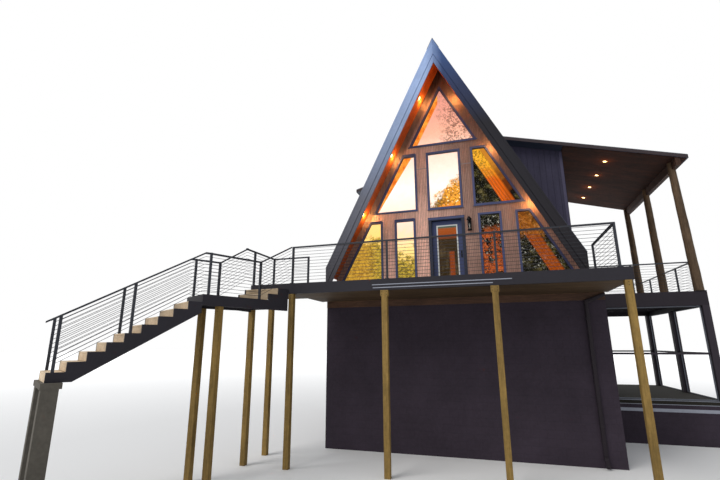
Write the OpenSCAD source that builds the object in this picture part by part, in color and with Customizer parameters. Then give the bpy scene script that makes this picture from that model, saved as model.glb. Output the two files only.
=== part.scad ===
// A-frame cabin on a block basement: steep main roof with two shed dormers,
// a raised front deck, a covered side porch and an angled stair.
// Frame: X to the right, Y into the house, Z up from the lowest ground.
// X = 0 is the ridge line, Y = 0 is the outer face of the front gable wall.

/* [Levels] */
// Height of the main floor and the decks above the lowest ground
floor_h = 4500; // [3900:50:5200]
// Depth of the main floor platform
floor_t = 290; // [200:10:380]
// Depth of the stair landing below the deck
landing_drop = 487; // [390:3:600]
// Depth of the lower porch floor below the deck
porch_drop = 3250; // [2900:50:3500]

/* [Main roof] */
// Height of the outer ridge line above the floor
ridge_h = 7450; // [6700:10:8200]
// Height of the main roof's outer foot above the floor
foot_h = 625; // [560:5:700]
// Half width of the main roof at its plumb-cut foot
foot_x = 3500; // [3300:10:3560]
// Thickness of the roof deck, square to its slope
roof_t = 85; // [70:5:110]
// Thickness of the roof with its rafters over the rooms, square to its slope
panel_t = 260; // [180:10:290]
// Width of the timber plates under the roof feet
plate_w = 120; // [90:5:160]
// Overhang in front of the gable at the ridge
overhang_ridge = 1250; // [1000:10:1500]
// Overhang in front of the gable at the foot
overhang_foot = 900; // [700:10:1000]
// Overhang behind the rear gable
overhang_rear = 600; // [300:10:900]
// Width of the barge boards, square to the slope
barge_w = 375; // [300:5:420]
// Thickness of the barge boards
barge_t = 42; // [25:1:60]
// Thickness of the overhang's lining boards
lining_t = 18; // [12:1:30]
// Width of each side of the ridge cap, level
cap_width = 180; // [120:10:260]
// Thickness of the ridge cap
cap_t = 12; // [6:1:20]

/* [House body] */
// Length of the house from gable to gable
house_l = 9000; // [8800:50:9800]
// Reach of the house body to the left of the ridge line
body_left = 3800; // [3700:10:3900]
// Reach of the house body to the right of the ridge line
body_right = 3950; // [3800:10:4000]
// Thickness of the gable walls
gable_t = 150; // [100:5:200]
// Thickness of the basement block walls
block_t = 200; // [150:10:300]
// How far the front block wall stands proud below the ledger board
block_proud = 20; // [10:1:30]
// Height of the ledger board under the floor line
ledger_h = 444; // [300:4:500]
// Thickness of the ledger board
ledger_t = 40; // [30:1:60]

/* [Shed dormers] */
// Depth below the ridge at which the shed roofs' top planes cross the ridge line
shed_drop = 968; // [850:2:1050]
// Fall of the shed roofs for each unit of run
shed_fall = 0.2757; // [0.22:0.005:0.32]
// Thickness of the shed roofs, measured plumb
shed_t = 130; // [90:5:180]
// Thickness of the dormer walls
dormer_t = 120; // [90:5:150]
// Distance of the right dormer's front wall behind the front gable
right_dormer_y = 3350; // [3200:50:3700]
// Distance of the left dormer's front wall behind the front gable
left_dormer_y = 5300; // [5000:50:5700]
// Distance of both dormers' back walls in front of the rear gable
dormer_back_gap = 500; // [400:50:600]
// Overhang of the shed roofs in front of the dormer walls
shed_front = 500; // [300:10:700]
// Overhang of the shed roofs behind the dormer walls
shed_back = 350; // [200:10:500]
// Distance of the right shed roof's eave from the ridge line
right_eave_x = 7570; // [7540:10:7900]
// Distance of the left shed roof's eave from the ridge line
left_eave_x = 4400; // [4200:10:4700]

/* [Windows] */
// Gap between the roof deck and the sloping window casings, level
slope_gap = 224; // [190:2:250]
// Width of the windows' casings
casing_w = 60; // [45:5:80]
// How far the casings stand proud of the wall
casing_proud = 28; // [15:1:40]
// Depth of the window frames inside the wall
frame_depth = 70; // [50:5:90]
// Thickness of the glass
glass_t = 14; // [8:1:24]
// Sill of the top triangular window above the floor
top_sill = 4550; // [4470:10:4700]
// How far the top window's casing stands inside the line of the casings below
top_gap = 100; // [40:2:160]
// Sill of the middle row above the floor
mid_sill = 2410; // [2390:10:2500]
// Head of the middle row above the floor
mid_head = 4320; // [4200:10:4400]
// Half width of the centre window's casing in the middle row
mid_half = 525; // [420:5:600]
// Inner edge of the middle row's side windows
mid_side_x = 840; // [780:10:920]
// Sill of the lower row above the floor
low_sill = 190; // [150:10:400]
// Head of the lower row above the floor
low_head = 2180; // [2100:10:2230]
// Inner edge of the lower narrow windows
low_in_x = 930; // [860:10:980]
// Outer edge of the lower narrow windows
low_out_x = 1590; // [1500:10:1700]
// Inner edge of the lower sloping windows
low_side_x = 1970; // [1850:10:2050]
// Sill of the dormers' side windows above the floor
side_sill = 900; // [700:20:1200]
// Level at which the gable wall is split between its rows of windows
row_split = 2300; // [2260:10:2330]

/* [Front door] */
// Width of the door leaf
door_w = 914; // [800:2:940]
// Height of the door leaf
door_h = 2040; // [1980:10:2060]
// Thickness of the door leaf
door_t = 45; // [38:1:55]
// Gap between the leaf and its frame
door_gap = 8; // [7:1:10]
// Thickness of the door frame's jambs
jamb_t = 40; // [25:1:45]
// Width of the front door's casing
door_casing_w = 75; // [50:5:95]
// Height of the threshold above the floor
threshold_h = 20; // [12:1:30]
// Width of the leaf's stiles and top rail round the glass
stile_w = 167; // [120:1:200]
// Height of the leaf's bottom rail
kick_h = 240; // [180:10:400]
// Height of the lever handle above the floor
lever_h = 1000; // [900:10:1100]

/* [Front deck] */
// Depth of the front deck in front of the gable
deck_y = 2350; // [2200:10:2600]
// Reach of the front deck to the left of the ridge line
deck_left = 3970; // [3900:10:4040]
// Reach of the front deck to the right of the ridge line
deck_right = 4035; // [4000:5:4100]
// Distance of the right deck post inside the deck's right edge
post_end_gap = 45; // [0:5:100]
// Width of the entry platform on the left of the deck
entry_w = 1150; // [1060:10:1300]
// Depth of the entry platform from front to back
entry_l = 1200; // [1050:10:1400]
// Height of the deck's rim boards
rim_h = 280; // [240:5:300]
// Thickness of the boards under the deck
soffit_t = 18; // [12:1:22]
// Thickness of the rim boards
rim_t = 42; // [30:1:60]
// Thickness of the deck boards
board_t = 30; // [20:1:40]
// Width of a deck joist
joist_w = 40; // [30:1:60]
// Spacing of the deck joists
joist_step = 480; // [380:10:640]
// Side of the square deck posts
post_w = 140; // [110:5:160]
// Width of the post heads
head_w = 190; // [165:5:220]
// Height of the post heads
head_h = 150; // [100:10:200]

/* [Railings] */
// Height of the top rails above the walking surface
rail_h = 950; // [900:10:1050]
// Thickness of the top rails
rail_t = 40; // [30:1:50]
// Side of the square rail posts
rail_post = 50; // [40:1:60]
// Diameter of the horizontal rods
rod_d = 10; // [6:1:14]
// Spacing of the rods
rod_step = 85; // [70:1:100]
// Length by which rods stop short of a bend in their railing
rod_break = 5; // [3:1:8]
// Distance of the rail's centre line inside the deck edge
rail_inset = 50; // [40:1:80]
// Gap between the right side rail's end and the gable wall
rail_end_gap = 60; // [40:10:600]
// Distance of the right side rail inside the deck's right edge
rail_right_inset = 195; // [60:5:260]
// Height of the front deck's top rail above the deck
front_rail_h = 1000; // [950:10:1070]

/* [Side porch] */
// Reach of the side deck to the right of the ridge line
side_right = 7500; // [7440:10:7520]
// Distance of the side deck's front edge behind the gable
side_y = 3250; // [3200:10:3300]
// Distance of the side deck's back edge in front of the rear gable
side_back_gap = 250; // [150:10:400]
// Height of the side deck's rim boards
side_rim_h = 440; // [300:10:480]
// Diameter of the log posts at the bottom
log_d = 290; // [200:5:320]
// Diameter of the log posts at the top
log_top_d = 225; // [180:5:260]
// Distance of the log posts' centres inside the side deck's edges
log_inset = 220; // [200:5:260]
// How far the logs' tops lean inwards, so that the beam sits in a notch of each
log_lean = 50; // [30:5:60]
// How far the front log's foot stands outwards
log_splay = 70; // [0:5:75]
// Width of the porch beam
beam_w = 140; // [100:5:180]
// Height of the porch beam
beam_h = 235; // [180:5:300]
// Thickness of the porch ceiling
ceiling_t = 20; // [15:1:30]

/* [Lower porch] */
// Thickness of the lower porch slab
slab_t = 120; // [90:10:200]
// Thickness of the slab's footing walls
footing_t = 200; // [150:10:250]
// Side of the lower porch posts
lower_post_w = 190; // [140:5:200]
// Height of the lower porch's middle rails above its slab
mid_rail_h = 1330; // [900:10:1500]
// Height of the middle rails
mid_rail_t = 60; // [40:5:90]

/* [Angled stair] */
// Width of the lower flight
stair_w = 1000; // [900:10:1100]
// Number of risers in the lower flight
riser_n = 10; // [8:1:11]
// Height of one riser in the lower flight
riser_h = 173; // [160:1:185]
// Depth of one tread
tread_run = 290; // [260:5:320]
// Direction in which the lower flight climbs, in plan
stair_turn = 58.2; // [50:0.2:64]
// Distance of the lower flight's top corner left of the ridge line
stair_top_x = 4930; // [4850:10:5000]
// Distance of the lower flight's top corner in front of the gable
stair_top_y = 4570; // [4500:10:4700]
// Thickness of the stringers and the landing's rim boards
stringer_t = 40; // [30:1:50]
// Thickness of the treads
tread_t = 38; // [30:1:45]
// Thickness of the risers
riser_t = 20; // [15:1:25]
// Gap between neighbouring step boards
step_gap = 4; // [3:1:8]
// Distance of a rail post's centre behind the nose of its tread
newel_back = 95; // [60:5:150]
// How far the handrail runs down past the centre of the lowest post
rail_tail = 140; // [60:5:200]
// Distance of the landing's first rail posts behind the top of the lower flight
top_post_back = 130; // [60:5:180]
// Share of the landing's near edge at which its turn post stands
near_turn_share = 0.85; // [0.75:0.01:0.88]
// Share of the landing's far edge at which its turn post stands
far_turn_share = 0.57; // [0.5:0.01:0.75]
// Level length of the far rail in front of the entry platform
rail_lead = 380; // [200:10:420]
// Thickness of timber below the steps' inner corners
throat = 205; // [110:5:240]
// Height of the landing's rim boards
landing_rim_h = 240; // [200:5:290]
// Side of the concrete piers under the foot of the stair
pier_w = 260; // [200:10:300]

/* [Fittings] */
// Gap left between pieces that meet on a slope or at an angle
seat = 0.5; // [0.3:0.1:1.5]
// How far the two middle posts stand left of an even spacing
post_shift = 80; // [0:10:200]
// Gap between the joists and the rim boards
joist_gap = 1; // [0.5:0.5:3]
// Diameter of the recessed lights
light_d = 120; // [90:5:150]
// Thickness of the recessed lights' discs
light_t = 8; // [5:1:14]
// Distance of the overhang's top lights from the ridge line
high_light_x = 600; // [500:10:700]
// Level spacing of the overhang's lights
high_light_step = 950; // [850:10:1000]
// Distance of the porch lights from the ridge line
light_x = 5410; // [5000:10:5900]
// Distance of the first porch light behind the dormer's front wall
light_y = 420; // [300:10:500]
// Spacing of the porch lights
light_step = 1363; // [1200:1:1450]
// Distance of the downspout from the ridge line
spout_x = 3480; // [3300:10:3600]
// Width of the downspout
spout_w = 90; // [60:5:110]
// Depth of the downspout
spout_t = 65; // [45:5:90]
// Height of the downspout's foot above the lowest ground
spout_foot = 260; // [240:10:500]
// Distance of the wall lantern from the ridge line
lantern_x = 675; // [640:5:760]
// Height of the wall lantern's underside above the floor
lantern_low = 1640; // [1500:10:1700]
// Height of the wall lantern
lantern_h = 460; // [320:10:520]
// Width of the wall lantern
lantern_w = 145; // [110:5:170]

/* [Hidden] */

// Slope geometry of the main roof
pitch = (ridge_h - foot_h) / foot_x;
slope_len = sqrt(1 + pitch * pitch);
roof_drop = roof_t * slope_len;
panel_drop = panel_t * slope_len;
barge_drop = barge_w * slope_len;
ridge_z = floor_h + ridge_h;
lining_z = ridge_z - roof_drop;
casing_z = lining_z - slope_gap * pitch;
foot_z = ridge_z - foot_x * pitch;
foot_in_z = foot_z - roof_drop;
ledger_z = floor_h - board_t - ledger_h;

// Shed roof planes and where they meet the main roof
shed_z = ridge_z - shed_drop;
shed_under_z = shed_z - shed_t;
shed_meet_x = (ridge_z - shed_z) / (pitch - shed_fall);
wall_meet_x = (ridge_z - shed_under_z) / (pitch - shed_fall);
right_rake_y = right_dormer_y - shed_front;
left_rake_y = left_dormer_y - shed_front;
dormer_back_y = house_l - dormer_back_gap;
side_back_y = house_l - side_back_gap;
shed_back_y = dormer_back_y + shed_back;

// Levels
landing_z = floor_h - landing_drop;
porch_z = floor_h - porch_drop;
stair_foot_z = landing_z - riser_n * riser_h;
upper_n = 3;
upper_riser = landing_drop / upper_n;

// Door geometry
leaf_left = -door_w / 2;
door_rough = door_w / 2 + door_gap + jamb_t;
door_head = threshold_h + door_gap * 2 + door_h;
leaf_z = floor_h + threshold_h + door_gap;
leaf_y = gable_t - door_t;

// Entry platform and its flight
entry_left = deck_left + entry_w;
flight_y = deck_y + (upper_n - 1) * tread_run;
post_step = (deck_left + deck_right - post_w - post_end_gap) / 3;

// Side porch
log_x = side_right - log_inset;
log_y = [side_y + log_inset / 2, (side_y + side_back_y) / 2, side_back_y - log_inset / 2];
ceiling_z = shed_under_z - ceiling_t;
beam_top_z = ceiling_z - seat - (log_x + beam_w / 2) * shed_fall;
beam_low_z = beam_top_z - beam_h;
log_top_z = beam_top_z + beam_w * shed_fall - joist_gap * 5;

// Plan corners of the stair landing
stair_top = [-stair_top_x, -stair_top_y];
climb = [cos(stair_turn), sin(stair_turn)];
across = [-sin(stair_turn), cos(stair_turn)];
stair_far = stair_top + across * stair_w;
deck_corner = [-deck_left, -deck_y];
flight_near = deck_corner
    + (stair_top - deck_corner) * ((flight_y - deck_y) / (stair_top_y - deck_y));
flight_far = [-entry_left, -flight_y];
landing_plan = [stair_top, flight_near, flight_far, stair_far];

// Turn a plan vector into its length 1 direction
function unit(v) = v / norm(v);

// Normal on the left of a plan vector
function left_of(v) = [-v[1], v[0]];

// Corner b of a counter-clockwise outline, moved inwards by d from both of its edges
function inner_corner(a, b, c, d) =
    let (n1 = left_of(unit(b - a)), n2 = left_of(unit(c - b)))
    b + (n1 + n2) * d / (1 + n1 * n2);

// A counter-clockwise outline moved inwards by d
function inset(p, d) =
    let (n = len(p))
    [for (i = [0:n - 1]) inner_corner(p[(i + n - 1) % n], p[i], p[(i + 1) % n], d)];

// An outline mirrored from right to left, kept counter-clockwise
function mirrored(p) = [for (i = [len(p) - 1:-1:0]) [-p[i][0], p[i][1]]];

// Half width of the casing line at height z
function casing_x(z) = (casing_z - z) / pitch;

// Outline with an upright inner edge and an outer edge that follows the roof
function under_slope(x, z0, z1) = [[x, z0], [casing_x(z0), z0], [casing_x(z1), z1], [x, z1]];

// Rectangular outline
function box_outline(x0, x1, z0, z1) = [[x0, z0], [x1, z0], [x1, z1], [x0, z1]];

// Casing outlines of the windows, seen from the front
top_half = casing_x(floor_h + top_sill) - top_gap;
top_window = [
    [-top_half, floor_h + top_sill],
    [top_half, floor_h + top_sill],
    [0, floor_h + top_sill + top_half * pitch]
];
mid_centre = box_outline(-mid_half, mid_half, floor_h + mid_sill, floor_h + mid_head);
mid_side = under_slope(mid_side_x, floor_h + mid_sill, floor_h + mid_head);
low_narrow = box_outline(low_in_x, low_out_x, floor_h + low_sill, floor_h + low_head);
low_side = under_slope(low_side_x, floor_h + low_sill, floor_h + low_head);
upper_windows = [top_window, mid_centre, mid_side, mirrored(mid_side)];
lower_windows = [low_narrow, mirrored(low_narrow), low_side, mirrored(low_side)];
front_windows = concat(upper_windows, lower_windows);
rear_windows = concat(upper_windows, [low_narrow, mirrored(low_narrow)]);

// Windows in the dormers' side walls, by distance behind the front gable
function dormer_windows(y0, y1) =
    let (w = low_out_x - low_in_x, m = (y0 + y1) / 2)
    [for (s = [-1, 1]) box_outline(m + s * w - w / 2, m + s * w + w / 2,
        floor_h + side_sill, floor_h + low_head)];
right_windows = dormer_windows(right_dormer_y, dormer_back_y);
left_windows = dormer_windows(left_dormer_y, dormer_back_y);

// Stands an outline drawn as X and Z upright between y0 and y1
module upright(y0, y1) {
    translate([0, y1, 0]) rotate([90, 0, 0]) linear_extrude(y1 - y0) children();
}

// Stands an outline drawn as Y and Z upright between x0 and x1
module sideways(x0, x1) {
    translate([x0, 0, 0]) rotate([90, 0, 90]) linear_extrude(x1 - x0) children();
}

// Box given by its lowest and highest corners
module block(a, b) {
    translate(a) cube(b - a);
}

// Mirrors its child to the left side
module left_side() {
    mirror([1, 0, 0]) children();
}

// Outline with a hole that leaves a border of width w
module border(p, w) {
    difference() {
        polygon(p);
        polygon(inset(p, w));
    }
}

// Holes in a wall for a list of casing outlines
module window_holes(outlines, y0, y1) {
    for (p = outlines)
        upright(y0, y1) polygon(inset(p, casing_w / 2));
}

// Casing and liner of one window in a wall whose outer face is at y = 0
module window_frame(p) {
    upright(-casing_proud, 0) border(p, casing_w);
    upright(0, frame_depth) border(inset(p, casing_w / 2), casing_w / 2);
}

// Sheet of glass in the middle of a frame's liner
module window_pane(p) {
    upright(frame_depth / 2 - glass_t / 2, frame_depth / 2 + glass_t / 2)
        polygon(inset(p, casing_w));
}

// Turns what is drawn for the front wall to face backwards at the rear wall
module at_rear() {
    translate([0, house_l, 0]) rotate([0, 0, 180]) children();
}

// Turns what is drawn for a front wall to face right, with its face at x
module facing_right(x) {
    translate([x, 0, 0]) rotate([0, 0, 90]) children();
}

// Turns what is drawn for a front wall to face left, with its face at x
module facing_left(x) {
    translate([-x, 0, 0]) rotate([0, 0, -90]) mirror([1, 0, 0]) children();
}

// Right half of the main roof's section: a sloping panel with a plumb foot
module panel_section(drop) {
    polygon([
        [0, ridge_z], [0, ridge_z - drop],
        [min(foot_x, (ridge_z - drop - floor_h) / pitch),
            max(floor_h, foot_z - drop)],
        [foot_x, max(floor_h, foot_z - drop)],
        [foot_x, foot_z]
    ]);
}

// Gable outline under the roof panels
module gable_outline() {
    polygon([
        [-foot_x, floor_h], [foot_x, floor_h], [foot_x, foot_in_z],
        [0, lining_z], [-foot_x, foot_in_z]
    ]);
}

// Plan of the front overhang's edge on the right, set forward by d
module overhang_plan(d, back) {
    polygon([
        [0, -overhang_ridge - d], [foot_x, -overhang_foot - d],
        [foot_x, back], [0, back]
    ]);
}

// Right main roof: its deck, its rafters between the gables and its dormer opening
module main_roof(dormer_y) {
    difference() {
        union() {
            intersection() {
                upright(-overhang_ridge, house_l + overhang_rear) panel_section(roof_drop);
                linear_extrude(ridge_z) overhang_plan(0, house_l + overhang_rear);
            }
            intersection() {
                upright(gable_t, house_l - gable_t) panel_section(panel_drop);
                block([0, 0, floor_h], [foot_x - plate_w - seat, house_l, ridge_z]);
            }
        }
        block([wall_meet_x, dormer_y + dormer_t, floor_h - 1],
            [foot_x + 1, dormer_back_y - dormer_t, ridge_z]);
    }
}

// Right shed roof from the main roof to its eave
module shed_roof(eave_x, y0, y1) {
    upright(y0, y1) polygon([
        [shed_meet_x + seat, shed_z - shed_meet_x * shed_fall],
        [wall_meet_x + seat, shed_under_z - wall_meet_x * shed_fall],
        [eave_x, shed_under_z - eave_x * shed_fall],
        [eave_x, shed_z - eave_x * shed_fall]
    ]);
}

// Dormer end wall between the main roof, the shed roof and the side wall
module dormer_end(reach, y0) {
    upright(y0, y0 + dormer_t) polygon([
        [reach, floor_h],
        [reach, shed_under_z - seat - reach * shed_fall],
        [wall_meet_x + seat, shed_under_z - seat - wall_meet_x * shed_fall],
        [foot_x + seat, foot_z], [foot_x + seat, floor_h]
    ]);
}

// Dormer side wall between its two end walls
module dormer_side(reach, y0) {
    intersection() {
        block([reach - dormer_t, y0 + dormer_t, floor_h],
            [reach, dormer_back_y - dormer_t, ridge_z]);
        upright(0, house_l) polygon([
            [0, floor_h], [reach, floor_h],
            [reach, shed_under_z - seat - reach * shed_fall], [0, shed_under_z - seat]
        ]);
    }
}

// Top rail and rods over a walking line of [distance, height] points, starting
// at plan point p in the direction angle; tail lengthens only the top rail
module rail_run(p, angle, line, tail = 0, high = rail_h) {
    n = len(line);
    top = high - rail_t;
    ahead = line[1] - line[0];
    rail_line = concat([line[0] - ahead * tail / ahead[0]],
        [for (i = [1:n - 1]) line[i]]);
    translate([p[0], p[1], 0]) rotate([0, 0, angle]) {
        translate([0, rail_t / 2, 0]) rotate([90, 0, 0]) linear_extrude(rail_t)
            polygon(concat([for (q = rail_line) q + [0, top]],
                [for (i = [n - 1:-1:0]) rail_line[i] + [0, high]]));
        for (i = [0:n - 2]) {
            step = line[i + 1] - line[i];
            skip = i > 0 ? rod_break : 0;
            last = i < n - 2 ? rod_break : 0;
            for (k = [1:floor((top - rod_d) / rod_step)])
                translate([line[i][0], 0, line[i][1] + k * rod_step])
                    rotate([0, 90 - atan2(step[1], step[0]), 0])
                        translate([0, 0, skip])
                            cylinder(h = norm(step) - skip - last, d = rod_d, $fn = 16);
        }
    }
}

// Railing from plan point a to b over floors at heights za and zb, with posts
// at the given shares of its length; trims shorten the rail and rods at a and b
module railing(a, b, za, zb, shares, trims = [0, 0], high = rail_h) {
    run = norm(b - a);
    rise = zb - za;
    angle = atan2(b[1] - a[1], b[0] - a[0]);
    rail_run(a, angle, [
        [trims[0], za + rise * trims[0] / run],
        [run - trims[1], zb - rise * trims[1] / run]
    ], 0, high);
    for (t = shares)
        rail_post_at(a + (b - a) * t, angle, za + t * rise, high - rail_t / 2);
}

// Square rail post of height h on plan point p
module rail_post_at(p, angle, z, h) {
    translate([p[0], p[1], z]) rotate([0, 0, angle])
        translate([-rail_post / 2, -rail_post / 2, 0]) cube([rail_post, rail_post, h]);
}

module basement_front_wall() {
    color("#3d3540") {
        block([-body_left, 0, 0], [body_right, block_t, floor_h - floor_t]);
        block([-body_left, -block_proud, 0], [body_right, block_t, ledger_z]);
    }
}

module basement_side_walls() {
    color("#3d3540") {
        block([-body_left, block_t, 0],
            [-body_left + block_t, house_l - block_t, floor_h - floor_t]);
        block([body_right - block_t, block_t, 0],
            [body_right, house_l - block_t, floor_h - floor_t]);
    }
}

module basement_back_wall() {
    color("#3d3540")
        block([-body_left, house_l - block_t, 0],
            [body_right, house_l, floor_h - floor_t]);
}

module main_floor() {
    color("#a9835a")
        block([-body_left, 0, floor_h - floor_t], [body_right, house_l, floor_h]);
}

module floor_ledger() {
    color("#6b4a33")
        block([-body_left, -ledger_t, ledger_z],
            [min(body_right, deck_right - rim_t), 0, floor_h - board_t]);
}

module gable_wall_left() {
    color("#8a4f3a") left_side() gable_lower_half();
}

module gable_wall_right() {
    color("#8a4f3a") gable_lower_half();
}

// Right part of the front gable beside the door, up to the row split
module gable_lower_half() {
    difference() {
        intersection() {
            upright(0, gable_t) gable_outline();
            block([door_rough, 0, floor_h], [foot_x, gable_t, floor_h + row_split]);
        }
        window_holes([low_narrow, low_side], -1, gable_t + 1);
    }
}

module gable_wall_over_door() {
    color("#8a4f3a") difference() {
        union() {
            intersection() {
                upright(0, gable_t) gable_outline();
                block([-foot_x, 0, floor_h + row_split], [foot_x, gable_t, ridge_z]);
            }
            block([-door_rough, 0, floor_h], [door_rough, gable_t, floor_h + row_split + 1]);
        }
        window_holes(upper_windows, -1, gable_t + 1);
        block([-door_rough, -1, floor_h - 1],
            [door_rough, gable_t + 1, floor_h + door_head + jamb_t]);
    }
}

module rear_gable_wall() {
    color("#8a4f3a") at_rear() difference() {
        upright(0, gable_t) gable_outline();
        window_holes(rear_windows, -1, gable_t + 1);
    }
}

module window_frames() {
    color("#2e3742") {
        for (p = front_windows) window_frame(p);
        at_rear() for (p = rear_windows) window_frame(p);
        facing_right(body_right) for (p = right_windows) window_frame(p);
        facing_left(body_left) for (p = left_windows) window_frame(p);
    }
}

module window_glass() {
    color("#9fb4c4") {
        for (p = front_windows) window_pane(p);
        at_rear() for (p = rear_windows) window_pane(p);
        facing_right(body_right) for (p = right_windows) window_pane(p);
        facing_left(body_left) for (p = left_windows) window_pane(p);
    }
}

module door_frame() {
    stop = 18;
    stop_y = leaf_y - door_gap;
    inner = door_rough - jamb_t;
    head = floor_h + door_head;
    color("#2b3540") {
        difference() {
            union() {
                upright(0, gable_t) polygon(box_outline(-door_rough, door_rough,
                    floor_h, head + jamb_t));
                upright(-casing_proud, 0) polygon(box_outline(
                    -inner - door_casing_w, inner + door_casing_w, floor_h, head + door_casing_w));
            }
            upright(stop_y, gable_t + 1)
                polygon(box_outline(-inner, inner, floor_h - 1, head));
            upright(-casing_proud - 1, stop_y + 1)
                polygon(box_outline(-inner + stop, inner - stop, floor_h - 1, head - stop));
        }
        block([-inner, -casing_proud, floor_h], [inner, gable_t, floor_h + threshold_h]);
    }
}

// Outline of the door leaf
leaf_outline = box_outline(leaf_left, -leaf_left, leaf_z, leaf_z + door_h);
lite_outline = box_outline(leaf_left + stile_w, -leaf_left - stile_w,
    leaf_z + kick_h, leaf_z + door_h - stile_w);
hinge_x = leaf_left - 3;
hinge_y = gable_t + 8;
hinge_r = 7;
hinge_len = 100;

module front_door() {
    color("#22303c") {
        upright(leaf_y, gable_t) difference() {
            polygon(leaf_outline);
            polygon(lite_outline);
        }
        for (s = [0.1, 0.5, 0.9])
            translate([hinge_x, hinge_y, leaf_z + s * door_h - hinge_len / 2])
                cylinder(h = hinge_len, r = hinge_r, $fn = 24);
        for (s = [0.1, 0.5, 0.9])
            block([hinge_x + 4, gable_t - 1, leaf_z + s * door_h - hinge_len / 2],
                [leaf_left + 40, gable_t + 4, leaf_z + s * door_h + hinge_len / 2]);
    }
}

module door_glass() {
    color("#d9c8a8")
        upright(leaf_y + door_t / 2 - glass_t / 2, leaf_y + door_t / 2 + glass_t / 2)
            polygon(lite_outline);
}

module door_handle() {
    plate_w = 44;
    plate_h = 210;
    lever_d = 18;
    lever_len = 115;
    reach = 48;
    x = -leaf_left - 62;
    z = floor_h + lever_h;
    color("#1c1c1e") {
        for (side = [[leaf_y, -1], [gable_t, 1]]) {
            y = side[0];
            s = side[1];
            block([x - plate_w / 2, min(y, y + s * 8), z - plate_h / 2],
                [x + plate_w / 2, max(y, y + s * 8), z + plate_h / 2]);
            translate([x, y, z]) rotate([-90 * s, 0, 0])
                cylinder(h = reach, d = lever_d, $fn = 24);
            translate([x + lever_d / 2, y + s * (reach - lever_d / 2), z])
                rotate([0, -90, 0]) cylinder(h = lever_len, d = lever_d, $fn = 24);
        }
    }
}

module wall_lantern() {
    x = lantern_x;
    z = floor_h + lantern_low;
    w = lantern_w;
    plate = 110;
    color("#26282b") {
        block([x - plate / 2, -20, z + lantern_h / 2 - plate],
            [x + plate / 2, 0, z + lantern_h / 2 + plate]);
        block([x - 12, -w, z + lantern_h - 45], [x + 12, -10, z + lantern_h - 20]);
        translate([x, -30 - w / 2, z]) {
            cylinder(h = 18, d = w, $fn = 32);
            translate([0, 0, 18]) cylinder(h = lantern_h - 90, d = w * 0.8, $fn = 32);
            translate([0, 0, lantern_h - 72]) cylinder(h = 60, d1 = w * 1.1, d2 = 30, $fn = 32);
        }
    }
}

module roof_right() {
    color("#3c4956") main_roof(right_dormer_y);
}

module roof_left() {
    color("#3c4956") left_side() main_roof(left_dormer_y);
}

module ridge_cap() {
    rise = cap_t * slope_len;
    color("#36424e") intersection() {
        upright(-overhang_ridge - barge_t, house_l + overhang_rear + barge_t) polygon([
            [0, ridge_z], [cap_width, ridge_z - cap_width * pitch],
            [cap_width, ridge_z + rise - cap_width * pitch],
            [0, ridge_z + rise],
            [-cap_width, ridge_z + rise - cap_width * pitch],
            [-cap_width, ridge_z - cap_width * pitch]
        ]);
        linear_extrude(ridge_z + rise) for (s = [0, 1]) mirror([s, 0, 0])
            overhang_plan(barge_t, house_l + overhang_rear + barge_t);
    }
}

// Right front barge board, following the slanted edge of the overhang
module barge_front() {
    intersection() {
        upright(-overhang_ridge - barge_t, 0) panel_section(barge_drop);
        linear_extrude(ridge_z) difference() {
            overhang_plan(barge_t, 0);
            overhang_plan(0, 1);
        }
    }
}

module barge_boards() {
    color("#46566a") {
        for (s = [0, 1]) mirror([s, 0, 0]) {
            barge_front();
            upright(house_l + overhang_rear, house_l + overhang_rear + barge_t)
                panel_section(barge_drop);
        }
    }
}

// Strip under the right roof panel, t thick square to the slope
module lining_section(t) {
    polygon([
        [0, lining_z], [0, lining_z - t * slope_len],
        [foot_x, foot_in_z - t * slope_len], [foot_x, foot_in_z]
    ]);
}

module overhang_lining() {
    color("#b5642c") for (s = [0, 1]) mirror([s, 0, 0]) {
        intersection() {
            upright(-overhang_ridge, 0) lining_section(lining_t);
            linear_extrude(ridge_z) overhang_plan(0, 0);
            block([0, -overhang_ridge, floor_h], [foot_x, 0, ridge_z]);
        }
        intersection() {
            upright(house_l, house_l + overhang_rear) lining_section(lining_t);
            block([0, house_l, floor_h], [foot_x, house_l + overhang_rear, ridge_z]);
        }
    }
}

// Timber plate under one roof foot between y0 and y1
module foot_plate(y0, y1) {
    upright(y0, y1) polygon([
        [foot_x - plate_w, floor_h], [foot_x, floor_h],
        [foot_x, foot_in_z - seat], [foot_x - plate_w, foot_in_z + plate_w * pitch - seat]
    ]);
}

module roof_foot_plates() {
    back = house_l - gable_t;
    color("#6b4a33") {
        foot_plate(gable_t, right_dormer_y + dormer_t);
        foot_plate(dormer_back_y - dormer_t, back);
        left_side() foot_plate(gable_t, left_dormer_y + dormer_t);
        left_side() foot_plate(dormer_back_y - dormer_t, back);
    }
}

// Disc of one recessed light under the right overhang at distance x
module overhang_light(x) {
    z = lining_z - lining_t * slope_len - x * pitch - seat * slope_len;
    translate([x, -overhang_foot * 0.45, z]) rotate([0, -90 - atan(1 / pitch), 0])
        cylinder(h = light_t, d = light_d, $fn = 32);
}

module recessed_lights() {
    color("#ffd9a0") {
        for (s = [0, 1]) mirror([s, 0, 0]) {
            for (k = [0:2]) overhang_light(high_light_x + k * high_light_step);
        }
        for (k = [0:3])
            translate([light_x, right_dormer_y + light_y + k * light_step,
                ceiling_z - light_x * shed_fall - seat * 2])
                rotate([0, 180 + atan(shed_fall), 0])
                    cylinder(h = light_t, d = light_d, $fn = 32);
    }
}

module dormer_end_walls() {
    color("#3f3946") {
        dormer_end(body_right, right_dormer_y);
        dormer_end(body_right, dormer_back_y - dormer_t);
        left_side() {
            dormer_end(body_left, left_dormer_y);
            dormer_end(body_left, dormer_back_y - dormer_t);
        }
    }
}

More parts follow.
